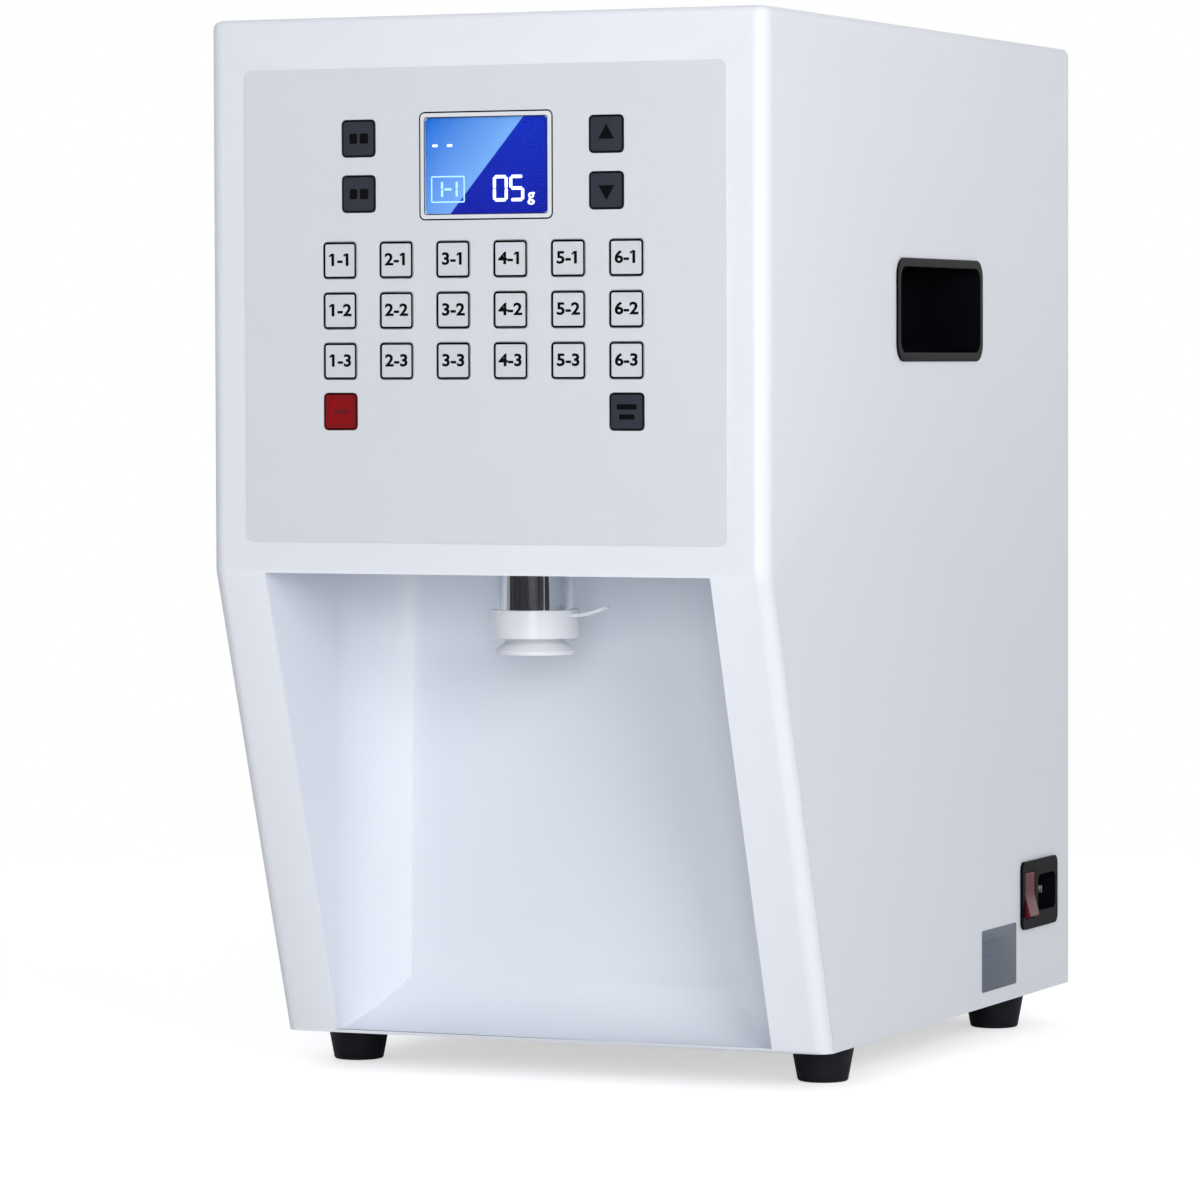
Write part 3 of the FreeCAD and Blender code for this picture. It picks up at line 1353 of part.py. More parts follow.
def pan_screw(axis, a, b, under_head, inward):
    """A screw: its head lies outside a level along an axis and its shank points inward."""
    outer = under_head - inward * SCREW_HEAD
    tip = under_head + inward * SCREW_LENGTH
    head_ends = sorted((outer, under_head))
    shank_ends = sorted((under_head, tip))
    head = facet_rod(axis, a, b, SCREW_HEAD_RADIUS, *head_ends, SCREW_SIDES)
    return head.fuse(facet_rod(axis, a, b, SCREW_RADIUS, *shank_ends, SCREW_SIDES))


def case_screws():
    screws = [pan_screw("Z", x, y, FOOT_RECESS, 1) for x, y in FEET]
    screws += [pan_screw("Y", x, z, COVER_Y + SHEET, -1) for x, z in COVER_SCREWS]
    return Part.makeCompound(screws)


# ---- write every sub-part
os.makedirs("parts", exist_ok=True)
WALLS = cabinet_walls()
save("cabinet_front", cabinet_front())
save("cabinet_sides", cabinet_sides())
save("cabinet_top", cabinet_top())
save("lid_frame", lid_frame())
save("bay_liner", bay_liner())
save("base_plate", base_plate())
save("rear_cover", rear_cover())
save("cabinet_hinge_leaf", cabinet_leaf())
save("lid_hinge_leaf", lid_leaf())
save("top_lid", top_lid())
save("lid_seal", lid_seal())
save("keypad_overlay", keypad_overlay())
save("display_bezel", display_bezel())
save("display_window", display_window())
save("lcd_module", lcd_module())
save("control_board", control_board())
for key_name, (key_x, key_z) in KEYS.items():
    save(key_name, key_cap(key_x, key_z))
save("right_grip", side_grip())
save("left_grip", mirrored(side_grip()))
save("power_unit", power_unit())
save("power_rocker", power_rocker())
save("hopper", hopper())
save("shaft_seal", shaft_seal())
save("auger", auger())
save("drive_coupling", drive_coupling())
save("agitator_wheel", agitator_wheel())
save("agitator_axle", agitator_axle())
save("auger_tube", auger_tube())
save("outlet_tube", outlet_tube())
save("outlet_nozzle", outlet_nozzle())
save("outlet_collar", outlet_collar())
save("cup_sensor", cup_sensor())
save("motor_bracket", motor_bracket())
save("gear_motor", gear_motor())
save("power_supply", power_supply())
save("rubber_feet", rubber_feet())
save("case_screws", case_screws())
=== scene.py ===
# %% [markdown]
# # A powder dispenser, dressed for its portrait
# The CAD model already has every piece at its true size. This script loads it as a
# fixed frame, gives each piece the finish that it has in the workshop, and adds
# the small things that are printed, moulded or pressed on.
# Every length here is in metres, +Z is up and the front faces -Y.

# %% The frame
import json
import math

import bpy
from mathutils import Matrix, Vector


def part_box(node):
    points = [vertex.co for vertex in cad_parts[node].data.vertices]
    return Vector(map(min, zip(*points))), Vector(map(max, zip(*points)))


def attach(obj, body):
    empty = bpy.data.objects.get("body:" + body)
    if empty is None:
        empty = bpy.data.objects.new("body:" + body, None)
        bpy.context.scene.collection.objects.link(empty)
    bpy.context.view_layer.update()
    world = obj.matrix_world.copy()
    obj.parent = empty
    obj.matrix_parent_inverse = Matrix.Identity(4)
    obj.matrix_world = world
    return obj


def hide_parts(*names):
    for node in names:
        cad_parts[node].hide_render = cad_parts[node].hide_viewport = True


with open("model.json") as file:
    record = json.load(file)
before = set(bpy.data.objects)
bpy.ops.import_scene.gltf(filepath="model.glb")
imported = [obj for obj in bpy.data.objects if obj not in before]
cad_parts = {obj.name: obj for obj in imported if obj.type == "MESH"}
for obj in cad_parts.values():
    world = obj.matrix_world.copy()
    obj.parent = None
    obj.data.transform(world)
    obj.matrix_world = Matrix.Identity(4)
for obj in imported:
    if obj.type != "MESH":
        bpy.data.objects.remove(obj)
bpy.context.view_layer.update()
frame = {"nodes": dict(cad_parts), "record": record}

MM = 0.001
RECORD = frame["record"]
SLOT_OF = {row["node"]: row["material_slot"] for row in RECORD["subparts"]}
BODY_OF = {node: body for body, nodes in RECORD["behaviour"]["bodies"].items() for node in nodes}

# %% [markdown]
# ## Looking from the front right
# A long lens from a distance keeps upright edges nearly parallel, as a product
# photographer likes it. The camera stands a little below the top of the machine,
# so that the lid can't be seen and the underside of the panel's fold can.
# Its three directions are worked out from how far it is turned, tipped and
# rolled, because a matrix made from them leaves no doubt about the order.

# %% The camera
CAMERA_PLACE = Vector((1.0274, -2.4586, 0.3130))
TURNED, TIPPED, ROLLED = (math.radians(angle) for angle in (23.27, -2.318, -0.175))


def add_camera():
    ahead = Vector((
        -math.sin(TURNED) * math.cos(TIPPED),
        math.cos(TURNED) * math.cos(TIPPED),
        math.sin(TIPPED),
    ))
    right = Vector((math.cos(TURNED), math.sin(TURNED), 0))
    up = right.cross(ahead)
    rolled_right = right * math.cos(ROLLED) + up * math.sin(ROLLED)
    rolled_up = up * math.cos(ROLLED) - right * math.sin(ROLLED)
    lens = bpy.data.cameras.new("camera")
    lens.lens = 175.3
    lens.sensor_width = 36
    lens.clip_end = 50
    camera = bpy.data.objects.new("camera", lens)
    bpy.context.scene.collection.objects.link(camera)
    turn = Matrix((rolled_right, rolled_up, -ahead)).transposed().to_4x4()
    camera.matrix_world = Matrix.Translation(CAMERA_PLACE) @ turn
    bpy.context.scene.camera = camera


add_camera()
bpy.context.scene.view_settings.view_transform = "Standard"
print("camera at", tuple(CAMERA_PLACE))

# %% [markdown]
# ## Nodes for materials
# A material is a small network of nodes, so two helpers keep the rest short:
# one adds a node with its settings, the other makes a material whose pattern is
# read from Object coordinates. Those are the true places on the machine, in
# metres, so a grain that is 0.4 mm wide here is 0.4 mm wide on the real part.

# %% Helpers for nodes
def add_node(tree, kind, inputs=None, **settings):
    """A node with its settings; inputs are values, or sockets to link from."""
    node = tree.nodes.new("ShaderNode" + kind)
    for name, value in settings.items():
        setattr(node, name, value)
    for name, value in (inputs or {}).items():
        if isinstance(value, bpy.types.NodeSocket):
            tree.links.new(value, node.inputs[name])
        else:
            node.inputs[name].default_value = value
    return node


def rgba(colour):
    return (*colour, 1.0)


def new_material(name):
    material = bpy.data.materials.new(name)
    material.use_nodes = True
    material.node_tree.nodes.clear()
    tree = material.node_tree
    place = add_node(tree, "TexCoord").outputs["Object"]
    return material, tree, place


def stretched(tree, place, scale):
    return add_node(tree, "Mapping", {"Vector": place, "Scale": scale}).outputs["Vector"]


def noise(tree, place, scale, detail=3.0, roughness=0.5):
    inputs = {"Vector": place, "Scale": scale, "Detail": detail, "Roughness": roughness}
    return add_node(tree, "TexNoise", inputs).outputs["Fac"]


def ranged(tree, value, low, high, start=0.3, end=0.7):
    """Spreads a pattern's values between a low and a high one."""
    inputs = {"Value": value, "From Min": start, "From Max": end, "To Min": low, "To Max": high}
    return add_node(tree, "MapRange", inputs).outputs["Result"]


def mixed(tree, share, first, second):
    node = tree.nodes.new("ShaderNodeMix")
    node.data_type = "RGBA"
    values = ((node.inputs[0], share), (node.inputs[6], first), (node.inputs[7], second))
    for socket, value in values:
        if isinstance(value, bpy.types.NodeSocket):
            tree.links.new(value, socket)
        else:
            socket.default_value = value
    return node.outputs[2]


def bumped(tree, height, distance, strength=1.0, normal=None):
    inputs = {"Height": height, "Distance": distance, "Strength": strength}
    if normal:
        inputs["Normal"] = normal
    return add_node(tree, "Bump", inputs).outputs["Normal"]


def finish_with(tree, **inputs):
    """The surface itself; each key is a socket's name with _ for a space."""
    named = {key.replace("_", " "): value for key, value in inputs.items()}
    surface = add_node(tree, "BsdfPrincipled", named)
    output = add_node(tree, "OutputMaterial")
    tree.links.new(surface.outputs["BSDF"], output.inputs["Surface"])
    return surface


def edge_highlight_share(tree, start=0.51, end=0.56):
    """1 on sharp outer edges, where a lighter colour is painted on as a highlight; 0 elsewhere.
    """
    sharp = add_node(tree, "NewGeometry").outputs["Pointiness"]
    return ranged(tree, sharp, 0.0, 1.0, start, end)


# %% [markdown]
# ## Powder coat
# The cabinet is folded sheet with a baked powder coat: almost white, a touch
# cold, satin rather than glossy. Powder melts into a skin with a faint orange
# peel, about 2 mm from dimple to dimple, which only shows where light grazes it.
# Large soft patches that differ by one or two percent keep broad panels from
# looking like plastic film, and sharp edges are painted a little lighter as a
# painted highlight.

# %% Powder coat
def powder_coat(name, colour, shade):
    material, tree, place = new_material(name)
    patches = noise(tree, place, 7.0, 2.0)
    dust = noise(tree, place, 420.0, 4.0)
    cloudy = mixed(tree, ranged(tree, patches, 0.0, 1.0), rgba(shade), rgba(colour))
    # The lighter colour on sharp edges is a painted highlight.
    painted_edge_highlight = tuple(min(1.0, channel * 1.05) for channel in colour)
    toned = mixed(tree, edge_highlight_share(tree), cloudy, rgba(painted_edge_highlight))
    peel = bumped(tree, noise(tree, place, 520.0, 2.0), 0.00003, 0.35)
    grain = bumped(tree, dust, 0.00001, 0.25, peel)
    gloss = ranged(tree, patches, 0.34, 0.42)
    finish_with(tree, Base_Color=toned, Roughness=gloss, Normal=grain, Coat_Weight=0.15,
                Coat_Roughness=0.22)
    return material


FINISH = {}
FINISH["white_paint"] = powder_coat("white_paint", (0.800, 0.820, 0.872), (0.780, 0.802, 0.860))
FINISH["bay_paint"] = powder_coat("bay_paint", (0.770, 0.800, 0.866), (0.750, 0.782, 0.852))
print("paint:", sorted(FINISH))

# %% [markdown]
# ## Metals
# Sheet that was rolled or brushed has fine lines in one direction. A noise that
# is stretched a hundredfold along that direction gives them, both as a bump and
# as a change of gloss. Zinc-plated sheet also has pale crystals as large as a
# fingernail. Chrome has no grain at all: only a few polishing hairlines.

# %% Metals
def brushed(name, colour, dark, along, roughness, depth=0.00001):
    """Metal with fine lines along X, Y or Z."""
    material, tree, place = new_material(name)
    scale = [900.0, 900.0, 900.0]
    scale["XYZ".index(along)] = 9.0
    lines = noise(tree, stretched(tree, place, scale), 1.0, 4.0)
    patches = noise(tree, place, 18.0, 3.0)
    tone = mixed(tree, ranged(tree, lines, 0.0, 1.0), rgba(dark), rgba(colour))
    toned = mixed(tree, ranged(tree, patches, 0.0, 0.35), tone, rgba(dark))
    gloss = ranged(tree, lines, roughness, roughness + 0.12)
    finish_with(tree, Base_Color=toned, Metallic=1.0, Roughness=gloss,
                Normal=bumped(tree, lines, depth, 0.4))
    return material


def plated(name, colour, dark):
    """Zinc plating with its pale crystals."""
    material, tree, place = new_material(name)
    crystals = add_node(tree, "TexVoronoi", {"Vector": place, "Scale": 140.0}).outputs["Color"]
    share = add_node(tree, "SeparateColor", {"Color": crystals}).outputs["Red"]
    toned = mixed(tree, share, rgba(dark), rgba(colour))
    gloss = ranged(tree, share, 0.28, 0.42, 0.0, 1.0)
    dents = bumped(tree, noise(tree, place, 260.0), 0.00002, 0.3)
    finish_with(tree, Base_Color=toned, Metallic=1.0, Roughness=gloss, Normal=dents)
    return material


def polished(name, colour):
    material, tree, place = new_material(name)
    hairs = noise(tree, stretched(tree, place, (1400.0, 1400.0, 14.0)), 1.0, 2.0)
    haze = noise(tree, place, 60.0, 2.0)
    toned = mixed(tree, ranged(tree, haze, 0.0, 0.25), rgba(colour), (0.62, 0.63, 0.65, 1.0))
    finish_with(tree, Base_Color=toned, Metallic=1.0, Roughness=ranged(tree, haze, 0.05, 0.09),
                Normal=bumped(tree, hairs, 0.000002, 0.3))
    return material


FINISH["zinc_sheet"] = plated("zinc_sheet", (0.66, 0.68, 0.70), (0.50, 0.52, 0.55))
FINISH["hinge_steel"] = brushed("hinge_steel", (0.62, 0.62, 0.63), (0.42, 0.42, 0.44), "X", 0.30)
FINISH["stainless"] = brushed("stainless", (0.70, 0.70, 0.71), (0.54, 0.54, 0.56), "Y", 0.24)
FINISH["motor_steel"] = brushed("motor_steel", (0.52, 0.52, 0.54), (0.36, 0.36, 0.38), "Y", 0.34)
FINISH["screw_steel"] = plated("screw_steel", (0.66, 0.66, 0.68), (0.48, 0.48, 0.50))
FINISH["chrome"] = polished("chrome", (0.80, 0.81, 0.83))
print("metals:", len(FINISH) - 2)

# %% [markdown]
# ## Plastics, film, rubber and foam
# Moulded plastic shows its mould: glossy parts have slow ripples, matt parts an
# even spark-eroded grain. The film over the keys has a much finer grain, about
# 0.2 mm, so that fingerprints don't show. Rubber is dull with a dusty bloom, and
# foam has open cells. One recipe with different numbers makes them all.

# %% Plastics and soft materials
def moulded(name, colour, other, roughness, grain, depth, **more):
    """Plastic, film or rubber; grain is how many grains there are in a metre."""
    material, tree, place = new_material(name)
    fine = noise(tree, place, grain, 3.0)
    slow = noise(tree, place, 22.0, 2.0)
    toned = mixed(tree, ranged(tree, slow, 0.0, 1.0), rgba(colour), rgba(other))
    gloss = ranged(tree, slow, roughness, roughness + 0.08)
    finish_with(tree, Base_Color=toned, Roughness=gloss, Normal=bumped(tree, fine, depth, 0.4),
                **more)
    return material


# The slanting line bounds a pale sheen painted into the screen's colour: a painted reflection.
LINE_START = 0.20  # where the sheen's line meets the screen's lower edge, as a share
LINE_SLANT = 0.60  # how much farther to the right it meets the upper edge


def lit_screen(name):
    """Glass over a blue backlight, with a painted reflection: a pale sheen painted into the
    colour and the glow on one side of a slanting line.
    """
    material, tree, place = new_material(name)
    low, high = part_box("display_window")
    spread = add_node(tree, "SeparateXYZ", {"Vector": place})
    across = ranged(tree, spread.outputs["X"], 0.0, 1.0, low.x, high.x)
    upward = ranged(tree, spread.outputs["Z"], 0.0, 1.0, low.z, high.z)
    line = add_node(tree, "Math", {0: upward, 1: LINE_SLANT, 2: LINE_START},
                    operation="MULTIPLY_ADD").outputs[0]
    past = add_node(tree, "Math", {0: across, 1: line}, operation="SUBTRACT").outputs[0]
    deep_side = ranged(tree, past, 0.0, 1.0, -0.004, 0.006)
    # Painted reflection: the sheen grows lighter towards the line, in colour and glow alike.
    painted_sheen = mixed(tree, ranged(tree, past, 0.0, 1.0, -0.75, 0.0),
                  (0.015, 0.150, 0.620, 1.0), (0.180, 0.390, 0.800, 1.0))
    deep = mixed(tree, upward, (0.006, 0.013, 0.340, 1.0), (0.004, 0.026, 0.440, 1.0))
    toned = mixed(tree, deep_side, painted_sheen, deep)
    mesh_lines = noise(tree, place, 2600.0, 1.0)
    finish_with(tree, Base_Color=toned, Emission_Color=toned, Emission_Strength=0.08,
                Roughness=ranged(tree, mesh_lines, 0.25, 0.33), Specular_IOR_Level=0.05)
    return material


def clear(name):
    material, tree, place = new_material(name)
    haze = noise(tree, place, 40.0, 2.0)
    finish_with(tree, Base_Color=(0.97, 0.98, 1.0, 1.0), Transmission_Weight=1.0, IOR=1.12,
                Roughness=ranged(tree, haze, 0.02, 0.05))
    return material


def circuit_board(name):
    material, tree, place = new_material(name)
    brick = add_node(tree, "TexBrick", {"Vector": place, "Scale": 60.0}).outputs["Fac"]
    toned = mixed(tree, brick, (0.030, 0.200, 0.090, 1.0), (0.060, 0.330, 0.150, 1.0))
    finish_with(tree, Base_Color=toned, Roughness=0.35,
                Normal=bumped(tree, noise(tree, place, 700.0), 0.00002, 0.3))
    return material


FINISH["overlay_film"] = moulded("overlay_film", (0.690, 0.701, 0.742), (0.676, 0.687, 0.730),
                                 0.42, 4200.0, 0.00001)
FINISH["key_white"] = moulded("key_white", (0.650, 0.660, 0.705), (0.635, 0.645, 0.692),
                              0.40, 4200.0, 0.00001)
FINISH["key_dark"] = moulded("key_dark", (0.029, 0.031, 0.046), (0.034, 0.036, 0.052),
                             0.40, 4200.0, 0.00001, Specular_IOR_Level=0.25)
FINISH["key_red"] = moulded("key_red", (0.270, 0.002, 0.006), (0.235, 0.002, 0.005),
                            0.40, 4200.0, 0.00001, Specular_IOR_Level=0.2)
FINISH["white_plastic"] = moulded("white_plastic", (0.760, 0.775, 0.810), (0.735, 0.752, 0.792),
                                  0.22, 900.0, 0.000008)
FINISH["black_plastic"] = moulded("black_plastic", (0.003, 0.003, 0.005), (0.005, 0.005, 0.007),
                                  0.14, 260.0, 0.00001, Specular_IOR_Level=0.03)
FINISH["rocker_red"] = moulded("rocker_red", (0.075, 0.004, 0.010), (0.050, 0.003, 0.008),
                               0.16, 260.0, 0.00001, Emission_Color=(0.30, 0.010, 0.020, 1.0),
                               Emission_Strength=0.10, Specular_IOR_Level=0.25)
FINISH["nylon"] = moulded("nylon", (0.740, 0.740, 0.700), (0.690, 0.690, 0.650), 0.38, 1500.0,
                          0.00002, Subsurface_Weight=0.1, Subsurface_Scale=0.002)
FINISH["silicone_foam"] = moulded("silicone_foam", (0.520, 0.530, 0.550), (0.440, 0.450, 0.470),
                                  0.75, 1800.0, 0.00012)
FINISH["rubber_black"] = moulded("rubber_black", (0.004, 0.005, 0.008), (0.009, 0.010, 0.014),
                                 0.55, 1500.0, 0.00004, Specular_IOR_Level=0.2)
FINISH["lcd_blue"] = lit_screen("lcd_blue")
FINISH["clear_window"] = clear("clear_window")
FINISH["board_green"] = circuit_board("board_green")
missing = sorted({slot for slot in SLOT_OF.values() if slot not in FINISH})
print("finishes:", len(FINISH), "missing:", missing)

# %% [markdown]
# ## From bare CAD to a finished surface
# A CAD mesh is loose triangles, so its round faces look faceted and its edges
# are as sharp as a razor, which no bent sheet or moulding is. The cure is the
# same for every node: copy the mesh, merge the doubled points, dissolve the lines
# across flat faces, round each edge by a fraction of a millimetre, and shade by
# angle. The copy then stands for the node, and rides on the same body.

# %% Finished copies of CAD nodes
SCENE = bpy.context.scene


def deselect():
    if bpy.context.object and bpy.context.object.mode != "OBJECT":
        bpy.ops.object.mode_set(mode="OBJECT")
    bpy.ops.object.select_all(action="DESELECT")


def choose(obj):
    deselect()
    obj.select_set(True)
    bpy.context.view_layer.objects.active = obj
    return obj


def apply_modifier(obj, kind, **settings):
    choose(obj)
    modifier = obj.modifiers.new(kind.lower(), kind)
    for name, value in settings.items():
        setattr(modifier, name, value)
    bpy.ops.object.modifier_apply(modifier=modifier.name)


def round_edges(obj, width, segments=2, sharper_than=32):
    apply_modifier(obj, "BEVEL", width=width, segments=segments, limit_method="ANGLE",
                   angle_limit=math.radians(sharper_than), use_clamp_overlap=True)


def shade(obj, angle=32):
    choose(obj)
    bpy.ops.object.shade_smooth_by_angle(angle=math.radians(angle))


def even_normals(obj):
    """Large faces keep their own direction, so a narrow rounded edge doesn't bend their shine."""
    apply_modifier(obj, "WEIGHTED_NORMAL", keep_sharp=True, weight=100)


def mesh_copy(node, name):
    source = frame["nodes"][node]
    copy = bpy.data.objects.new(name, source.data.copy())
    SCENE.collection.objects.link(copy)
    copy.matrix_world = source.matrix_world
    return copy


def merge_points(obj, dissolve=0.6):
    choose(obj)
    bpy.ops.object.mode_set(mode="EDIT")
    bpy.ops.mesh.select_all(action="SELECT")
    bpy.ops.mesh.remove_doubles(threshold=0.000004)
    if dissolve:
        bpy.ops.mesh.dissolve_limited(angle_limit=math.radians(dissolve))
    bpy.ops.object.mode_set(mode="OBJECT")


def paint(obj, slot):
    obj.data.materials.clear()
    obj.data.materials.append(FINISH[slot])


def belong(obj, body, slot):
    """The last steps for every new piece: its finish and the body it rides on."""
    paint(obj, slot)
    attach(obj, body)
    return obj


def finished(node, edge=0.0003, segments=2, dissolve=0.6):
    obj = mesh_copy(node, node + "_finished")
    merge_points(obj, dissolve)
    if edge:
        round_edges(obj, edge, segments)
    shade(obj)
    if edge:
        even_normals(obj)
    belong(obj, BODY_OF[node], SLOT_OF[node])
    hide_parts(node)
    return obj


for node, obj in frame["nodes"].items():
    obj.data.materials.clear()
    obj.data.materials.append(FINISH[SLOT_OF[node]])
print("all", len(frame["nodes"]), "nodes have a finish")

# %% [markdown]
# ## The painted cabinet
# Front, sides and top are separate sheets that are welded, ground flush and
# painted together, so on the finished machine no seam shows. Here their copies
# are joined into one mesh, their common points are merged, and the faces that
# now lie inside the weld are removed. The radii of the folds come with the CAD.

# %% The cabinet's skin
def welded_skin():
    sheets = [mesh_copy(node, node + "_sheet") for node in ("cabinet_front", "cabinet_sides",
                                                            "cabinet_top")]
    choose(sheets[0])
    for sheet in sheets[1:]:
        sheet.select_set(True)
    bpy.ops.object.join()
    skin = bpy.context.object
    skin.name = "cabinet_skin"
    bpy.ops.object.mode_set(mode="EDIT")
    bpy.ops.mesh.select_all(action="SELECT")
    bpy.ops.mesh.remove_doubles(threshold=0.000004)
    bpy.ops.mesh.select_all(action="DESELECT")
    bpy.ops.mesh.select_interior_faces()
    bpy.ops.object.mode_set(mode="OBJECT")
    inside = sum(face.select for face in skin.data.polygons)
    bpy.ops.object.mode_set(mode="EDIT")
    bpy.ops.mesh.delete(type="FACE")
    bpy.ops.object.mode_set(mode="OBJECT")
    shade(skin, 30)
    belong(skin, "cabinet", "white_paint")
    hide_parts("cabinet_front", "cabinet_sides", "cabinet_top")
    print("faces inside the welds:", inside, "faces left:", len(skin.data.polygons))
    return skin


welded_skin()
for node in ("bay_liner", "top_lid", "lid_frame"):
    finished(node, edge=0.0004)
finished("base_plate", edge=0.0002)
finished("rear_cover", edge=0)

# %% [markdown]
# ## The smaller CAD pieces
# Mouldings get a slightly larger edge radius than pressed sheet, and thin film
# gets almost none. The widths are those that a fingertip would tell apart.

# %% Finished small pieces
EDGES = {
    "display_bezel": 0.00025, "display_window": 0.0001, "right_grip": 0.0006,
    "left_grip": 0.0006, "power_unit": 0.0004, "power_rocker": 0.0005, "outlet_tube": 0.0002,
    "outlet_nozzle": 0.0003, "outlet_collar": 0.0004, "cup_sensor": 0.0004,
    "cabinet_hinge_leaf": 0.0002, "lid_hinge_leaf": 0.0002, "lid_seal": 0.0005,
    "hopper": 0.0004, "agitator_wheel": 0.0006, "agitator_axle": 0.0002, "auger_tube": 0.0004,
    "drive_coupling": 0.0005, "motor_bracket": 0.0003, "gear_motor": 0.0006,
    "power_supply": 0.0005, "shaft_seal": 0.0003,
}
for node, edge in EDGES.items():
    finished(node, edge)
finished("auger", edge=0, dissolve=0)
finished("keypad_overlay", edge=0)
for node in sorted(SLOT_OF):
    if node.startswith("key_"):
        finished(node, edge=0.00015)

# %% [markdown]
# ## Flat marks
# Printing stands a few hundredths of a millimetre proud of the film. Each mark
# here is a thin closed piece: a plane is turned upright so that it faces -Y,
# its corners are rounded, it may be inset to leave a ring, and it is given a
# thickness towards the front.

# %% Helpers for marks on the front
PRINT = 0.00004
CAPITAL = 0.70  # a capital's height as a share of the type's size
FACING_FRONT = math.radians(90)


def edit(obj, mode="FACE", chosen="SELECT"):
    choose(obj)
    bpy.ops.object.mode_set(mode="EDIT")
    bpy.ops.mesh.select_mode(type=mode)
    bpy.ops.mesh.select_all(action=chosen)


def edit_selected(obj):
    choose(obj)
    bpy.ops.object.mode_set(mode="EDIT")
    bpy.ops.mesh.select_mode(type="FACE")


def object_mode():
    bpy.ops.object.mode_set(mode="OBJECT")


def bake_place(obj):
    """Puts an object's place, turn and scale in its mesh."""
    choose(obj)
    bpy.ops.object.transform_apply(location=True, rotation=True, scale=True)
    return obj


def front_plate(name, x, z, width, height, corner, y, ring=0.0, thick=PRINT, slant=0.0):
    """A thin plate, or a ring of a given width, whose back lies on the plane y."""
    deselect()
    turn = (FACING_FRONT, slant, 0)
    bpy.ops.mesh.primitive_plane_add(size=1, location=(x, y, z), rotation=turn)
    plate = bpy.context.object
    plate.name = name
    plate.scale = (width, height, 1)
    bake_place(plate)
    if corner:
        edit(plate, "VERT")
        bpy.ops.mesh.bevel(offset=corner, segments=5, affect="VERTICES")
        object_mode()
    edit(plate)
    if ring:
        bpy.ops.mesh.inset(thickness=ring)
        bpy.ops.mesh.delete(type="FACE")
        bpy.ops.mesh.select_all(action="SELECT")
    bpy.ops.mesh.extrude_region_move(TRANSFORM_OT_translate={"value": (0, -thick, 0)})
    bpy.ops.mesh.select_all(action="SELECT")
    bpy.ops.mesh.normals_make_consistent(inside=False)
    object_mode()
    return plate


def lettering(name, words, x, z, height, y, weight=0.0, thick=PRINT, wide=1.0):
    """Plain sans-serif words, turned upright; height is that of a capital."""
    deselect()
    bpy.ops.object.text_add(location=(x, y, z), rotation=(FACING_FRONT, 0, 0))
    text = bpy.context.object
    text.name = name
    text.data.body = words
    text.data.align_x = "CENTER"
    text.data.align_y = "CENTER"
    text.data.size = height / CAPITAL
    text.data.offset = weight
    text.data.extrude = thick / 2
    text.data.resolution_u = 3
    bpy.ops.object.convert(target="MESH")
    bpy.context.object.scale.x = wide
    return bake_place(bpy.context.object)


FINISH["ink_black"] = moulded("ink_black", (0.002, 0.002, 0.003), (0.004, 0.004, 0.005), 0.50,
                              4200.0, 0.000005, Specular_IOR_Level=0.06)
FINISH["ink_grey"] = moulded("ink_grey", (0.030, 0.032, 0.040), (0.022, 0.024, 0.030), 0.50,
                             4200.0, 0.000005, Specular_IOR_Level=0.1)


def printed(obj, body, ink, slot="overlay_film"):
    belong(obj, body, slot)
    obj.data.materials.clear()
    obj.data.materials.append(FINISH[ink])
    return obj


# %% [markdown]
# ## The keys
# Each white key has a black printed border with round corners and its number in
# heavy type: the column, a dash and the row. Five keys are dark with plain signs,
# and one is red. A border and a number ride with their own key, so that they
# move when it is pressed.

# %% Borders and numbers
KEY_CAP = 0.0156
KEY_INSET = 0.00005
BORDER = 0.00085
STEM = 0.0018  # wider than the upright stroke of a 1


def key_middle(node):
    low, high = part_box(node)
    return (low.x + high.x) / 2, (low.z + high.z) / 2


def key_front():
    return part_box("key_1_1")[0].y


def key_face_size():
    """The cap's visible face, inside its rounded edge."""
    return KEY_CAP - 2 * KEY_INSET


def flag_on_one(number, first, y):
    """The slanting stroke at the top of a 1, which is the first or the last sign."""
    places = [vertex.co for vertex in number.data.vertices]
    left = min(place.x for place in places)
    right = max(place.x for place in places)
    top = max(place.z for place in places)
    stem = left if first else min(place.x for place in places if place.x > right - STEM)
    flag = front_plate("flag", stem - 0.0003, top - 0.00075, 0.0018, 0.0008, 0, y,
                       slant=math.radians(-38))
    choose(number)
    flag.select_set(True)
    bpy.ops.object.join()


def add_key_print():
    y = key_front()
    size = key_face_size()
    for column in range(1, 7):
        for row in range(1, 4):
            node = f"key_{column}_{row}"
            body = BODY_OF[node]
            x, z = key_middle(node)
            border = front_plate(f"border_{column}_{row}", x, z, size, size, 0.0016, y, BORDER)
            printed(border, body, "ink_black", "key_white")
            number = lettering(f"number_{column}_{row}", f"{column}-{row}", x, z, 0.0050,
                               y - PRINT / 2, 0.00022, wide=1.16)
            if column == 1:
                flag_on_one(number, True, y)
            if row == 1:
                flag_on_one(number, False, y)
            printed(number, body, "ink_black", "key_white")


add_key_print()
print("key front at", round(key_front(), 5), "numbers:", 18)

# %% Signs on the dark and red keys
def bars(name, node, spans, ink):
    """Plain bars on a key, each given by its middle and size from the key's middle."""
    x, z = key_middle(node)
    for number, (across, up, width, height) in enumerate(spans):
        bar = front_plate(f"{name}_{number + 1}", x + across, z + up, width, height,
                          min(width, height) * 0.2, key_front())
        printed(bar, BODY_OF[node], ink, SLOT_OF[node])


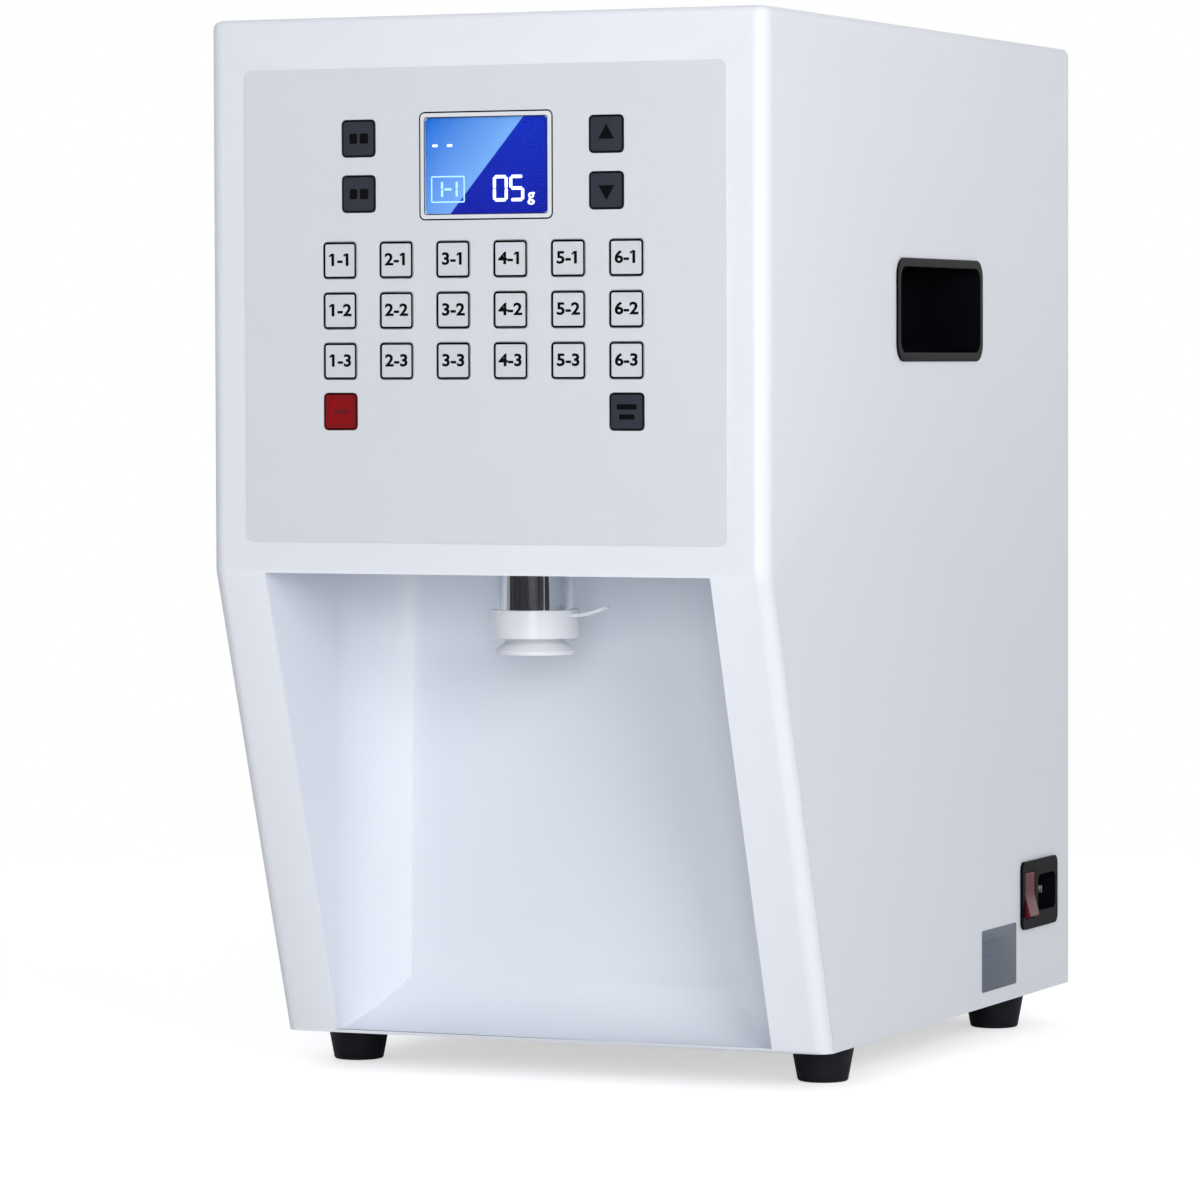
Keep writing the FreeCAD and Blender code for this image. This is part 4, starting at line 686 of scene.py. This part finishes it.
def arrow(name, node, upward):
    """A triangle: a circle primitive with three corners, made thick."""
    x, z = key_middle(node)
    deselect()
    turn = (FACING_FRONT, 0 if upward else math.pi, 0)
    bpy.ops.mesh.primitive_circle_add(vertices=3, radius=0.0042, fill_type="NGON",
                                      location=(x, key_front(), z), rotation=turn)
    sign = bake_place(bpy.context.object)
    sign.name = name
    edit(sign)
    bpy.ops.mesh.extrude_region_move(TRANSFORM_OT_translate={"value": (0, -PRINT, 0)})
    bpy.ops.mesh.select_all(action="SELECT")
    bpy.ops.mesh.normals_make_consistent(inside=False)
    object_mode()
    printed(sign, BODY_OF[node], "ink_black", SLOT_OF[node])


def add_key_signs():
    bars("menu_bar", "key_menu", [(0, 0.0020, 0.0090, 0.0022), (0, -0.0022, 0.0070, 0.0022)],
         "ink_black")
    bars("mode_bar", "key_mode", [(-0.0024, 0, 0.0036, 0.0044), (0.0026, 0, 0.0040, 0.0044)],
         "ink_black")
    bars("set_bar", "key_set", [(-0.0024, 0, 0.0036, 0.0044), (0.0026, 0, 0.0040, 0.0044)],
         "ink_black")
    arrow("up_arrow", "key_up", True)
    arrow("down_arrow", "key_down", False)
    x, z = key_middle("key_stop")
    ring = front_plate("stop_ring", x, z, 0.0124, 0.0124, 0.0014, key_front(), 0.0005)
    printed(ring, BODY_OF["key_stop"], "ink_dark_red", "key_red")
    bars("stop_bar", "key_stop", [(0, 0, 0.0070, 0.0020)], "ink_dark_red")
    for node in ("key_menu", "key_mode", "key_set", "key_up", "key_down", "key_stop"):
        x, z = key_middle(node)
        size = key_face_size()
        border = front_plate(node + "_border", x, z, size, size, 0.0016, key_front(), 0.0006)
        printed(border, BODY_OF[node], "ink_black", SLOT_OF[node])


FINISH["ink_dark_red"] = moulded("ink_dark_red", (0.150, 0.001, 0.004), (0.120, 0.001, 0.003),
                                 0.36, 4200.0, 0.000005)
add_key_signs()

# %% [markdown]
# ## The display
# Behind the clear window lies a lit blue screen. What it shows is plain dosing
# figures: the channel in a box, a large amount in seven-segment digits, and the
# unit. The segments are slim bars with cut corners, and they lie in the thin gap
# between the screen and the window, as the bright pixels of a real one do.

# %% The figures on the screen
def lit_ink(name, colour, strength):
    material, tree, place = new_material(name)
    dots = noise(tree, place, 3000.0, 1.0)
    toned = mixed(tree, ranged(tree, dots, 0.0, 0.12), rgba(colour), (0.45, 0.60, 0.95, 1.0))
    finish_with(tree, Base_Color=toned, Emission_Color=toned, Emission_Strength=strength,
                Roughness=0.4)
    return material


FINISH["lit_white"] = lit_ink("lit_white", (0.86, 0.92, 1.0), 0.75)
FINISH["lit_pale_blue"] = lit_ink("lit_pale_blue", (0.36, 0.62, 0.98), 0.55)
SCREEN_LOW, SCREEN_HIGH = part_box("display_window")
FIGURES_Y = SCREEN_HIGH.y + 0.00014
DIGIT_WIDTH = 0.56  # as a share of its height
SEGMENTS = {"0": "abcdef", "1": "bc", "5": "acdfg", "-": "g"}


def on_screen(across, up):
    """A place on the screen; both shares run from 0 to 1, from its lower left corner."""
    return (SCREEN_LOW.x + across * (SCREEN_HIGH.x - SCREEN_LOW.x),
            SCREEN_LOW.z + up * (SCREEN_HIGH.z - SCREEN_LOW.z))


def digit(name, sign, x, z, height, stroke, ink):
    """A seven-segment digit around a middle; its bars are joined to one piece."""
    width = height * DIGIT_WIDTH
    places = {
        "a": (0, height / 2, True), "g": (0, 0, True), "d": (0, -height / 2, True),
        "f": (-width / 2, height / 4, False), "b": (width / 2, height / 4, False),
        "e": (-width / 2, -height / 4, False), "c": (width / 2, -height / 4, False),
    }
    pieces = []
    for segment in SEGMENTS[sign]:
        across, up, level = places[segment]
        long_side = width - stroke * 0.3 if level else height / 2 - stroke * 0.2
        size = (long_side, stroke) if level else (stroke, long_side)
        pieces.append(front_plate(name + segment, x + across, z + up, *size, stroke * 0.35,
                                  FIGURES_Y))
    choose(pieces[0])
    for piece in pieces[1:]:
        piece.select_set(True)
    bpy.ops.object.join()
    whole = bpy.context.object
    whole.name = name
    printed(whole, "cabinet", ink, "lcd_blue")


def add_figures():
    for name, sign, across in (("amount_tens", "0", 0.614), ("amount_units", "5", 0.748)):
        x, z = on_screen(across, 0.26)
        digit(name, sign, x, z, 0.0098, 0.0014, "lit_white")
    x, z = on_screen(0.865, 0.185)
    printed(lettering("unit_gram", "g", x, z, 0.0052, FIGURES_Y - PRINT / 2, 0.00012), "cabinet",
            "lit_white", "lcd_blue")
    for number, across in enumerate((0.08, 0.20)):
        x, z = on_screen(across, 0.71)
        digit(f"idle_dash_{number + 1}", "-", x, z, 0.0050, 0.0011, "lit_white")
    x, z = on_screen(0.185, 0.257)
    box = front_plate("channel_box", x, z, 0.0158, 0.0114, 0.0008, FIGURES_Y, 0.0006)
    printed(box, "cabinet", "lit_pale_blue", "lcd_blue")
    for number, (sign, across) in enumerate((("1", 0.105), ("-", 0.185), ("1", 0.225))):
        x, z = on_screen(across, 0.257)
        digit(f"channel_sign_{number + 1}", sign, x, z, 0.0066, 0.0011, "lit_pale_blue")


add_figures()

# %% The dark line round the bezel
def add_display_line():
    low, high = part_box("display_bezel")
    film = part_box("keypad_overlay")[0].y
    x = (low.x + high.x) / 2
    z = (low.z + high.z) / 2
    wide = high.x - low.x
    tall = high.z - low.z
    line = front_plate("display_line", x, z, wide + 0.0012, tall + 0.0012, 0.0026, film,
                       0.0010)
    printed(line, "cabinet", "ink_black")
    inner = front_plate("display_inner_line", x, z, wide - 0.0034, tall - 0.0034, 0.0012, low.y,
                        0.0004, 0.00002)
    printed(inner, "cabinet", "ink_grey", "white_plastic")


add_display_line()

# %% [markdown]
# ## Feet and screws
# The feet are turned-looking rubber mouldings that widen towards the machine,
# with a rounded tread. One is made from a cone, its tread bevelled and its
# recess pressed in, and copied with a mesh of its own to each corner. The screws
# are pan heads with a cross recess, made once and turned to face out.

# %% Rubber feet
def copies(piece, name, places, body, slot):
    """A finished piece at the origin is copied to each place, and the first goes away."""
    made = []
    for number, matrix in enumerate(places):
        twin = bpy.data.objects.new(f"{name}_{number + 1}", piece.data.copy())
        SCENE.collection.objects.link(twin)
        twin.data.transform(matrix)
        made.append(belong(twin, body, slot))
    bpy.data.objects.remove(piece)
    return made


FOOT_TOP = 14 * MM
FOOT_TREAD = 11 * MM
FOOT_HEIGHT = 16 * MM
FOOT_SIDES = 16  # flats on the CAD foot, whose corners reach past its radius
FOOT_RECESS = 8 * MM


def foot_places():
    low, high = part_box("rubber_feet")
    reach = FOOT_TOP / math.cos(math.pi / FOOT_SIDES)
    across = (low.x + reach, high.x - reach)
    along = (low.y + reach, high.y - reach)
    return [(x, y) for x in across for y in along]


def add_feet():
    deselect()
    bpy.ops.mesh.primitive_cone_add(vertices=48, radius1=FOOT_TREAD, radius2=FOOT_TOP,
                                    depth=FOOT_HEIGHT, location=(0, 0, FOOT_HEIGHT / 2))
    foot = bake_place(bpy.context.object)
    foot.name = "foot"
    edit(foot, "FACE", "DESELECT")
    object_mode()
    for face in foot.data.polygons:
        face.select = face.normal.z < -0.9
    edit_selected(foot)
    bpy.ops.mesh.inset(thickness=6 * MM)
    bpy.ops.mesh.extrude_region_move(TRANSFORM_OT_translate={"value": (0, 0, 7.8 * MM)})
    object_mode()
    round_edges(foot, 0.0009, 3)
    shade(foot)
    places = [Matrix.Translation((x, y, 0)) for x, y in foot_places()]
    made = copies(foot, "rubber_foot", places, "cabinet", "rubber_black")
    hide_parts("rubber_feet")
    print("feet at", [tuple(round(value, 4) for value in place) for place in foot_places()])


add_feet()

# %% Screws with a cross recess
SCREW_HEAD = 4 * MM
SCREW_HEAD_THICK = 2.5 * MM
SCREW_SHANK = 2 * MM
SCREW_LENGTH = 13 * MM
SCREW_SIDES = 8  # flats on the CAD screw's head
SCREW_UP = 6 * MM  # from the cover's lower edge to its lowest screws


def add_screws():
    deselect()
    bpy.ops.mesh.primitive_cylinder_add(vertices=32, radius=SCREW_HEAD, depth=SCREW_HEAD_THICK,
                                        location=(0, 0, SCREW_HEAD_THICK / 2))
    head = bake_place(bpy.context.object)
    head.name = "screw"
    round_edges(head, 0.0009, 4)
    for turn in (0, math.pi / 2):
        deselect()
        bpy.ops.mesh.primitive_cube_add(size=1, location=(0, 0, 2.3 * MM), rotation=(0, 0, turn))
        blade = bpy.context.object
        blade.scale = (4.4 * MM, 0.9 * MM, 2.4 * MM)
        bake_place(blade)
        apply_modifier(head, "BOOLEAN", operation="DIFFERENCE", object=blade, solver="EXACT")
        bpy.data.objects.remove(blade)
    deselect()
    bpy.ops.mesh.primitive_cylinder_add(vertices=24, radius=SCREW_SHANK, depth=SCREW_LENGTH,
                                        location=(0, 0, -SCREW_LENGTH / 2))
    shank = bake_place(bpy.context.object)
    choose(head)
    shank.select_set(True)
    bpy.ops.object.join()
    shade(head)
    cover_low, cover_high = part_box("rear_cover")
    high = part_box("case_screws")[1]
    reach = SCREW_HEAD / math.cos(math.pi / SCREW_SIDES)
    lowest = cover_low.z + SCREW_UP
    heights = (lowest, (lowest + high.z - reach) / 2, high.z - reach)
    outward = Matrix.Rotation(math.radians(-90), 4, "X")
    places = [
        Matrix.Translation((side * (high.x - reach), cover_high.y, z)) @ outward
        for side in (-1, 1) for z in heights
    ]
    down = Matrix.Rotation(math.pi, 4, "X")
    places += [Matrix.Translation((x, y, FOOT_RECESS)) @ down for x, y in foot_places()]
    made = copies(head, "case_screw", places, "cabinet", "screw_steel")
    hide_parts("case_screws")
    print("screws:", len(made))


add_screws()

# %% [markdown]
# ## On the right side
# In front of the power unit is a bare metal plate, stuck on flat. The unit itself
# has a lit red rocker and a socket with three plated pins in a dark well.

# %% The bare plate and the pins
def side_plate(name, y, z, length, height, corner, x, thick):
    """A thin plate on the right side, with rounded corners; add_side_details softens its rim
    afterwards.
    """
    deselect()
    bpy.ops.mesh.primitive_plane_add(size=1, location=(x, y, z),
                                     rotation=(FACING_FRONT, 0, math.radians(90)))
    plate = bpy.context.object
    plate.name = name
    plate.scale = (length, height, 1)
    bake_place(plate)
    edit(plate, "VERT")
    bpy.ops.mesh.bevel(offset=corner, segments=5, affect="VERTICES")
    bpy.ops.mesh.select_mode(type="FACE")
    bpy.ops.mesh.select_all(action="SELECT")
    bpy.ops.mesh.extrude_region_move(TRANSFORM_OT_translate={"value": (thick, 0, 0)})
    bpy.ops.mesh.select_all(action="SELECT")
    bpy.ops.mesh.normals_make_consistent(inside=False)
    object_mode()
    return plate


PLATE_PLACE = (0.095, 0.0373)  # its middle, along Y and Z
PLATE_SIZE = (0.047, 0.0285)
PLATE_CORNER = 0.001
PLATE_THICK = 0.0004
PIN_SIZE = (0.0111, 0.0021, 0.0041)
PIN_MIDDLE = (0.159, 0.063)  # the middle of the socket, along Y and Z
PIN_DEEP = 0.01045  # from the unit's face to the middle of a pin
PIN_PLACES = ((-0.007, 0), (0, 0.002), (0.007, 0))


def add_side_details():
    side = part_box("cabinet_sides")[1].x
    plate = side_plate("bare_plate", *PLATE_PLACE, *PLATE_SIZE, PLATE_CORNER, side, PLATE_THICK)
    round_edges(plate, 0.0001)
    shade(plate)
    belong(plate, "cabinet", "zinc_sheet")
    plate.data.materials.clear()
    plate.data.materials.append(FINISH["bare_metal"])
    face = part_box("power_unit")[1].x
    for number, (across, up) in enumerate(PIN_PLACES):
        deselect()
        place = (face - PIN_DEEP, PIN_MIDDLE[0] + across, PIN_MIDDLE[1] + up)
        bpy.ops.mesh.primitive_cube_add(size=1, location=place)
        pin = bpy.context.object
        pin.scale = PIN_SIZE
        pin.name = f"inlet_pin_{number + 1}"
        bake_place(pin)
        round_edges(pin, 0.0005, 2)
        shade(pin)
        belong(pin, "cabinet", "screw_steel")


FINISH["bare_metal"] = brushed("bare_metal", (0.230, 0.260, 0.320), (0.165, 0.190, 0.240), "Y",
                               0.36)
add_side_details()

# %% [markdown]
# ## The place it stands in
# A pale floor, a white surround and big soft lamps, as on a photographer's
# table. The floor and the surround turn white for the camera by Light Path, and
# not by more light, so the paint keeps its own tone. A dark card that only
# mirrors can see gives polished metal something to reflect.

# %% Floor and surround
def pale_floor(glow):
    """White for the camera, apart from the shadow; far away it is white without light."""
    deselect()
    bpy.ops.mesh.primitive_plane_add(size=40, location=(0, 0, -0.0002))
    floor = bpy.context.object
    floor.name = "floor"
    material, tree, place = new_material("pale_floor")
    seen = add_node(tree, "LightPath").outputs["Is Camera Ray"]
    cloudy = mixed(tree, ranged(tree, noise(tree, place, 3.0), 0.0, 1.0),
                   (0.80, 0.80, 0.80, 1.0), (0.82, 0.82, 0.82, 1.0))
    surface = add_node(tree, "BsdfDiffuse", {"Color": cloudy}).outputs["BSDF"]
    lifted = add_node(tree, "AddShader")
    soft = add_node(tree, "Emission", {"Color": (1, 1, 1, 1), "Strength": glow}).outputs[0]
    tree.links.new(surface, lifted.inputs[0])
    tree.links.new(soft, lifted.inputs[1])
    away = add_node(tree, "VectorMath", {0: place}, operation="LENGTH").outputs["Value"]
    far = ranged(tree, away, 0.0, 1.0, 0.45, 1.1)
    white = add_node(tree, "Emission", {"Color": (1, 1, 1, 1), "Strength": 1.0}).outputs[0]
    faded = add_node(tree, "MixShader", {"Fac": far})
    tree.links.new(lifted.outputs[0], faded.inputs[1])
    tree.links.new(white, faded.inputs[2])
    choice = add_node(tree, "MixShader", {"Fac": seen})
    tree.links.new(surface, choice.inputs[1])
    tree.links.new(faded.outputs[0], choice.inputs[2])
    output = add_node(tree, "OutputMaterial")
    tree.links.new(choice.outputs[0], output.inputs["Surface"])
    floor.data.materials.append(material)


def white_surround(strength):
    world = bpy.data.worlds.new("surround")
    world.use_nodes = True
    tree = world.node_tree
    tree.nodes.clear()
    rays = add_node(tree, "LightPath")
    mirror = add_node(tree, "Math", {0: rays.outputs["Is Camera Ray"],
                                     1: rays.outputs["Is Transmission Ray"]},
                      operation="MAXIMUM").outputs[0]
    seen = add_node(tree, "Math", {0: mirror, 1: rays.outputs["Is Glossy Ray"]},
                    operation="MAXIMUM").outputs[0]
    soft = add_node(tree, "Background", {"Color": (0.93, 0.96, 1.0, 1.0), "Strength": strength})
    white = add_node(tree, "Background", {"Color": (1, 1, 1, 1), "Strength": 1.0})
    choice = add_node(tree, "MixShader", {"Fac": seen})
    tree.links.new(soft.outputs[0], choice.inputs[1])
    tree.links.new(white.outputs[0], choice.inputs[2])
    output = add_node(tree, "OutputWorld")
    tree.links.new(choice.outputs[0], output.inputs["Surface"])
    SCENE.world = world


def dark_card(name, left, right, low, high, away):
    """A dark upright card in front of the machine, which only mirrors can see."""
    deselect()
    bpy.ops.mesh.primitive_plane_add(size=1, rotation=(FACING_FRONT, 0, 0),
                                     location=((left + right) / 2, away, (low + high) / 2))
    card = bpy.context.object
    card.name = name
    card.scale = (right - left, high - low, 1)
    bake_place(card)
    material, tree, place = new_material(name)
    cloth = mixed(tree, ranged(tree, noise(tree, place, 6.0), 0.0, 1.0),
                  (0.020, 0.021, 0.026, 1.0), (0.060, 0.062, 0.070, 1.0))
    surface = add_node(tree, "Emission", {"Color": cloth, "Strength": 1.0}).outputs[0]
    output = add_node(tree, "OutputMaterial")
    tree.links.new(surface, output.inputs["Surface"])
    card.data.materials.append(material)
    card.visible_camera = False
    card.visible_diffuse = False
    card.visible_transmission = False
    card.visible_volume_scatter = False
    card.visible_shadow = False


def lamp(name, place, target, size, power, colour=(1, 1, 1)):
    light = bpy.data.lights.new(name, "AREA")
    light.shape = "SQUARE"
    light.size = size
    light.energy = power
    light.color = colour
    obj = bpy.data.objects.new(name, light)
    SCENE.collection.objects.link(obj)
    obj.location = place
    toward = Vector(target) - Vector(place)
    obj.rotation_euler = toward.to_track_quat("-Z", "Y").to_euler()


pale_floor(0.56)
white_surround(0.41)
dark_card("wide_card", -2.2, 1.75, -0.2, 1.3, -1.6)
dark_card("narrow_card", 1.95, 3.6, -0.2, 1.3, -1.6)
lamp("right_lamp", (1.0, -3.0, 0.5), (0, 0, 0.15), 1.2, 31.0)
lamp("left_lamp", (-0.9, -3.0, 0.45), (0, 0, 0.18), 1.2, 0.0)
lamp("near_lamp", (1.5, -1.5, 0.8), (0, 0, 0.22), 0.8, 16.4)
lamp("back_lamp", (-1.6, 2.6, 1.5), (0, 0, 0.25), 1.6, 24)
lamp("top_lamp", (0.2, 0.2, 2.4), (0, 0, 0.3), 1.8, 0.0)
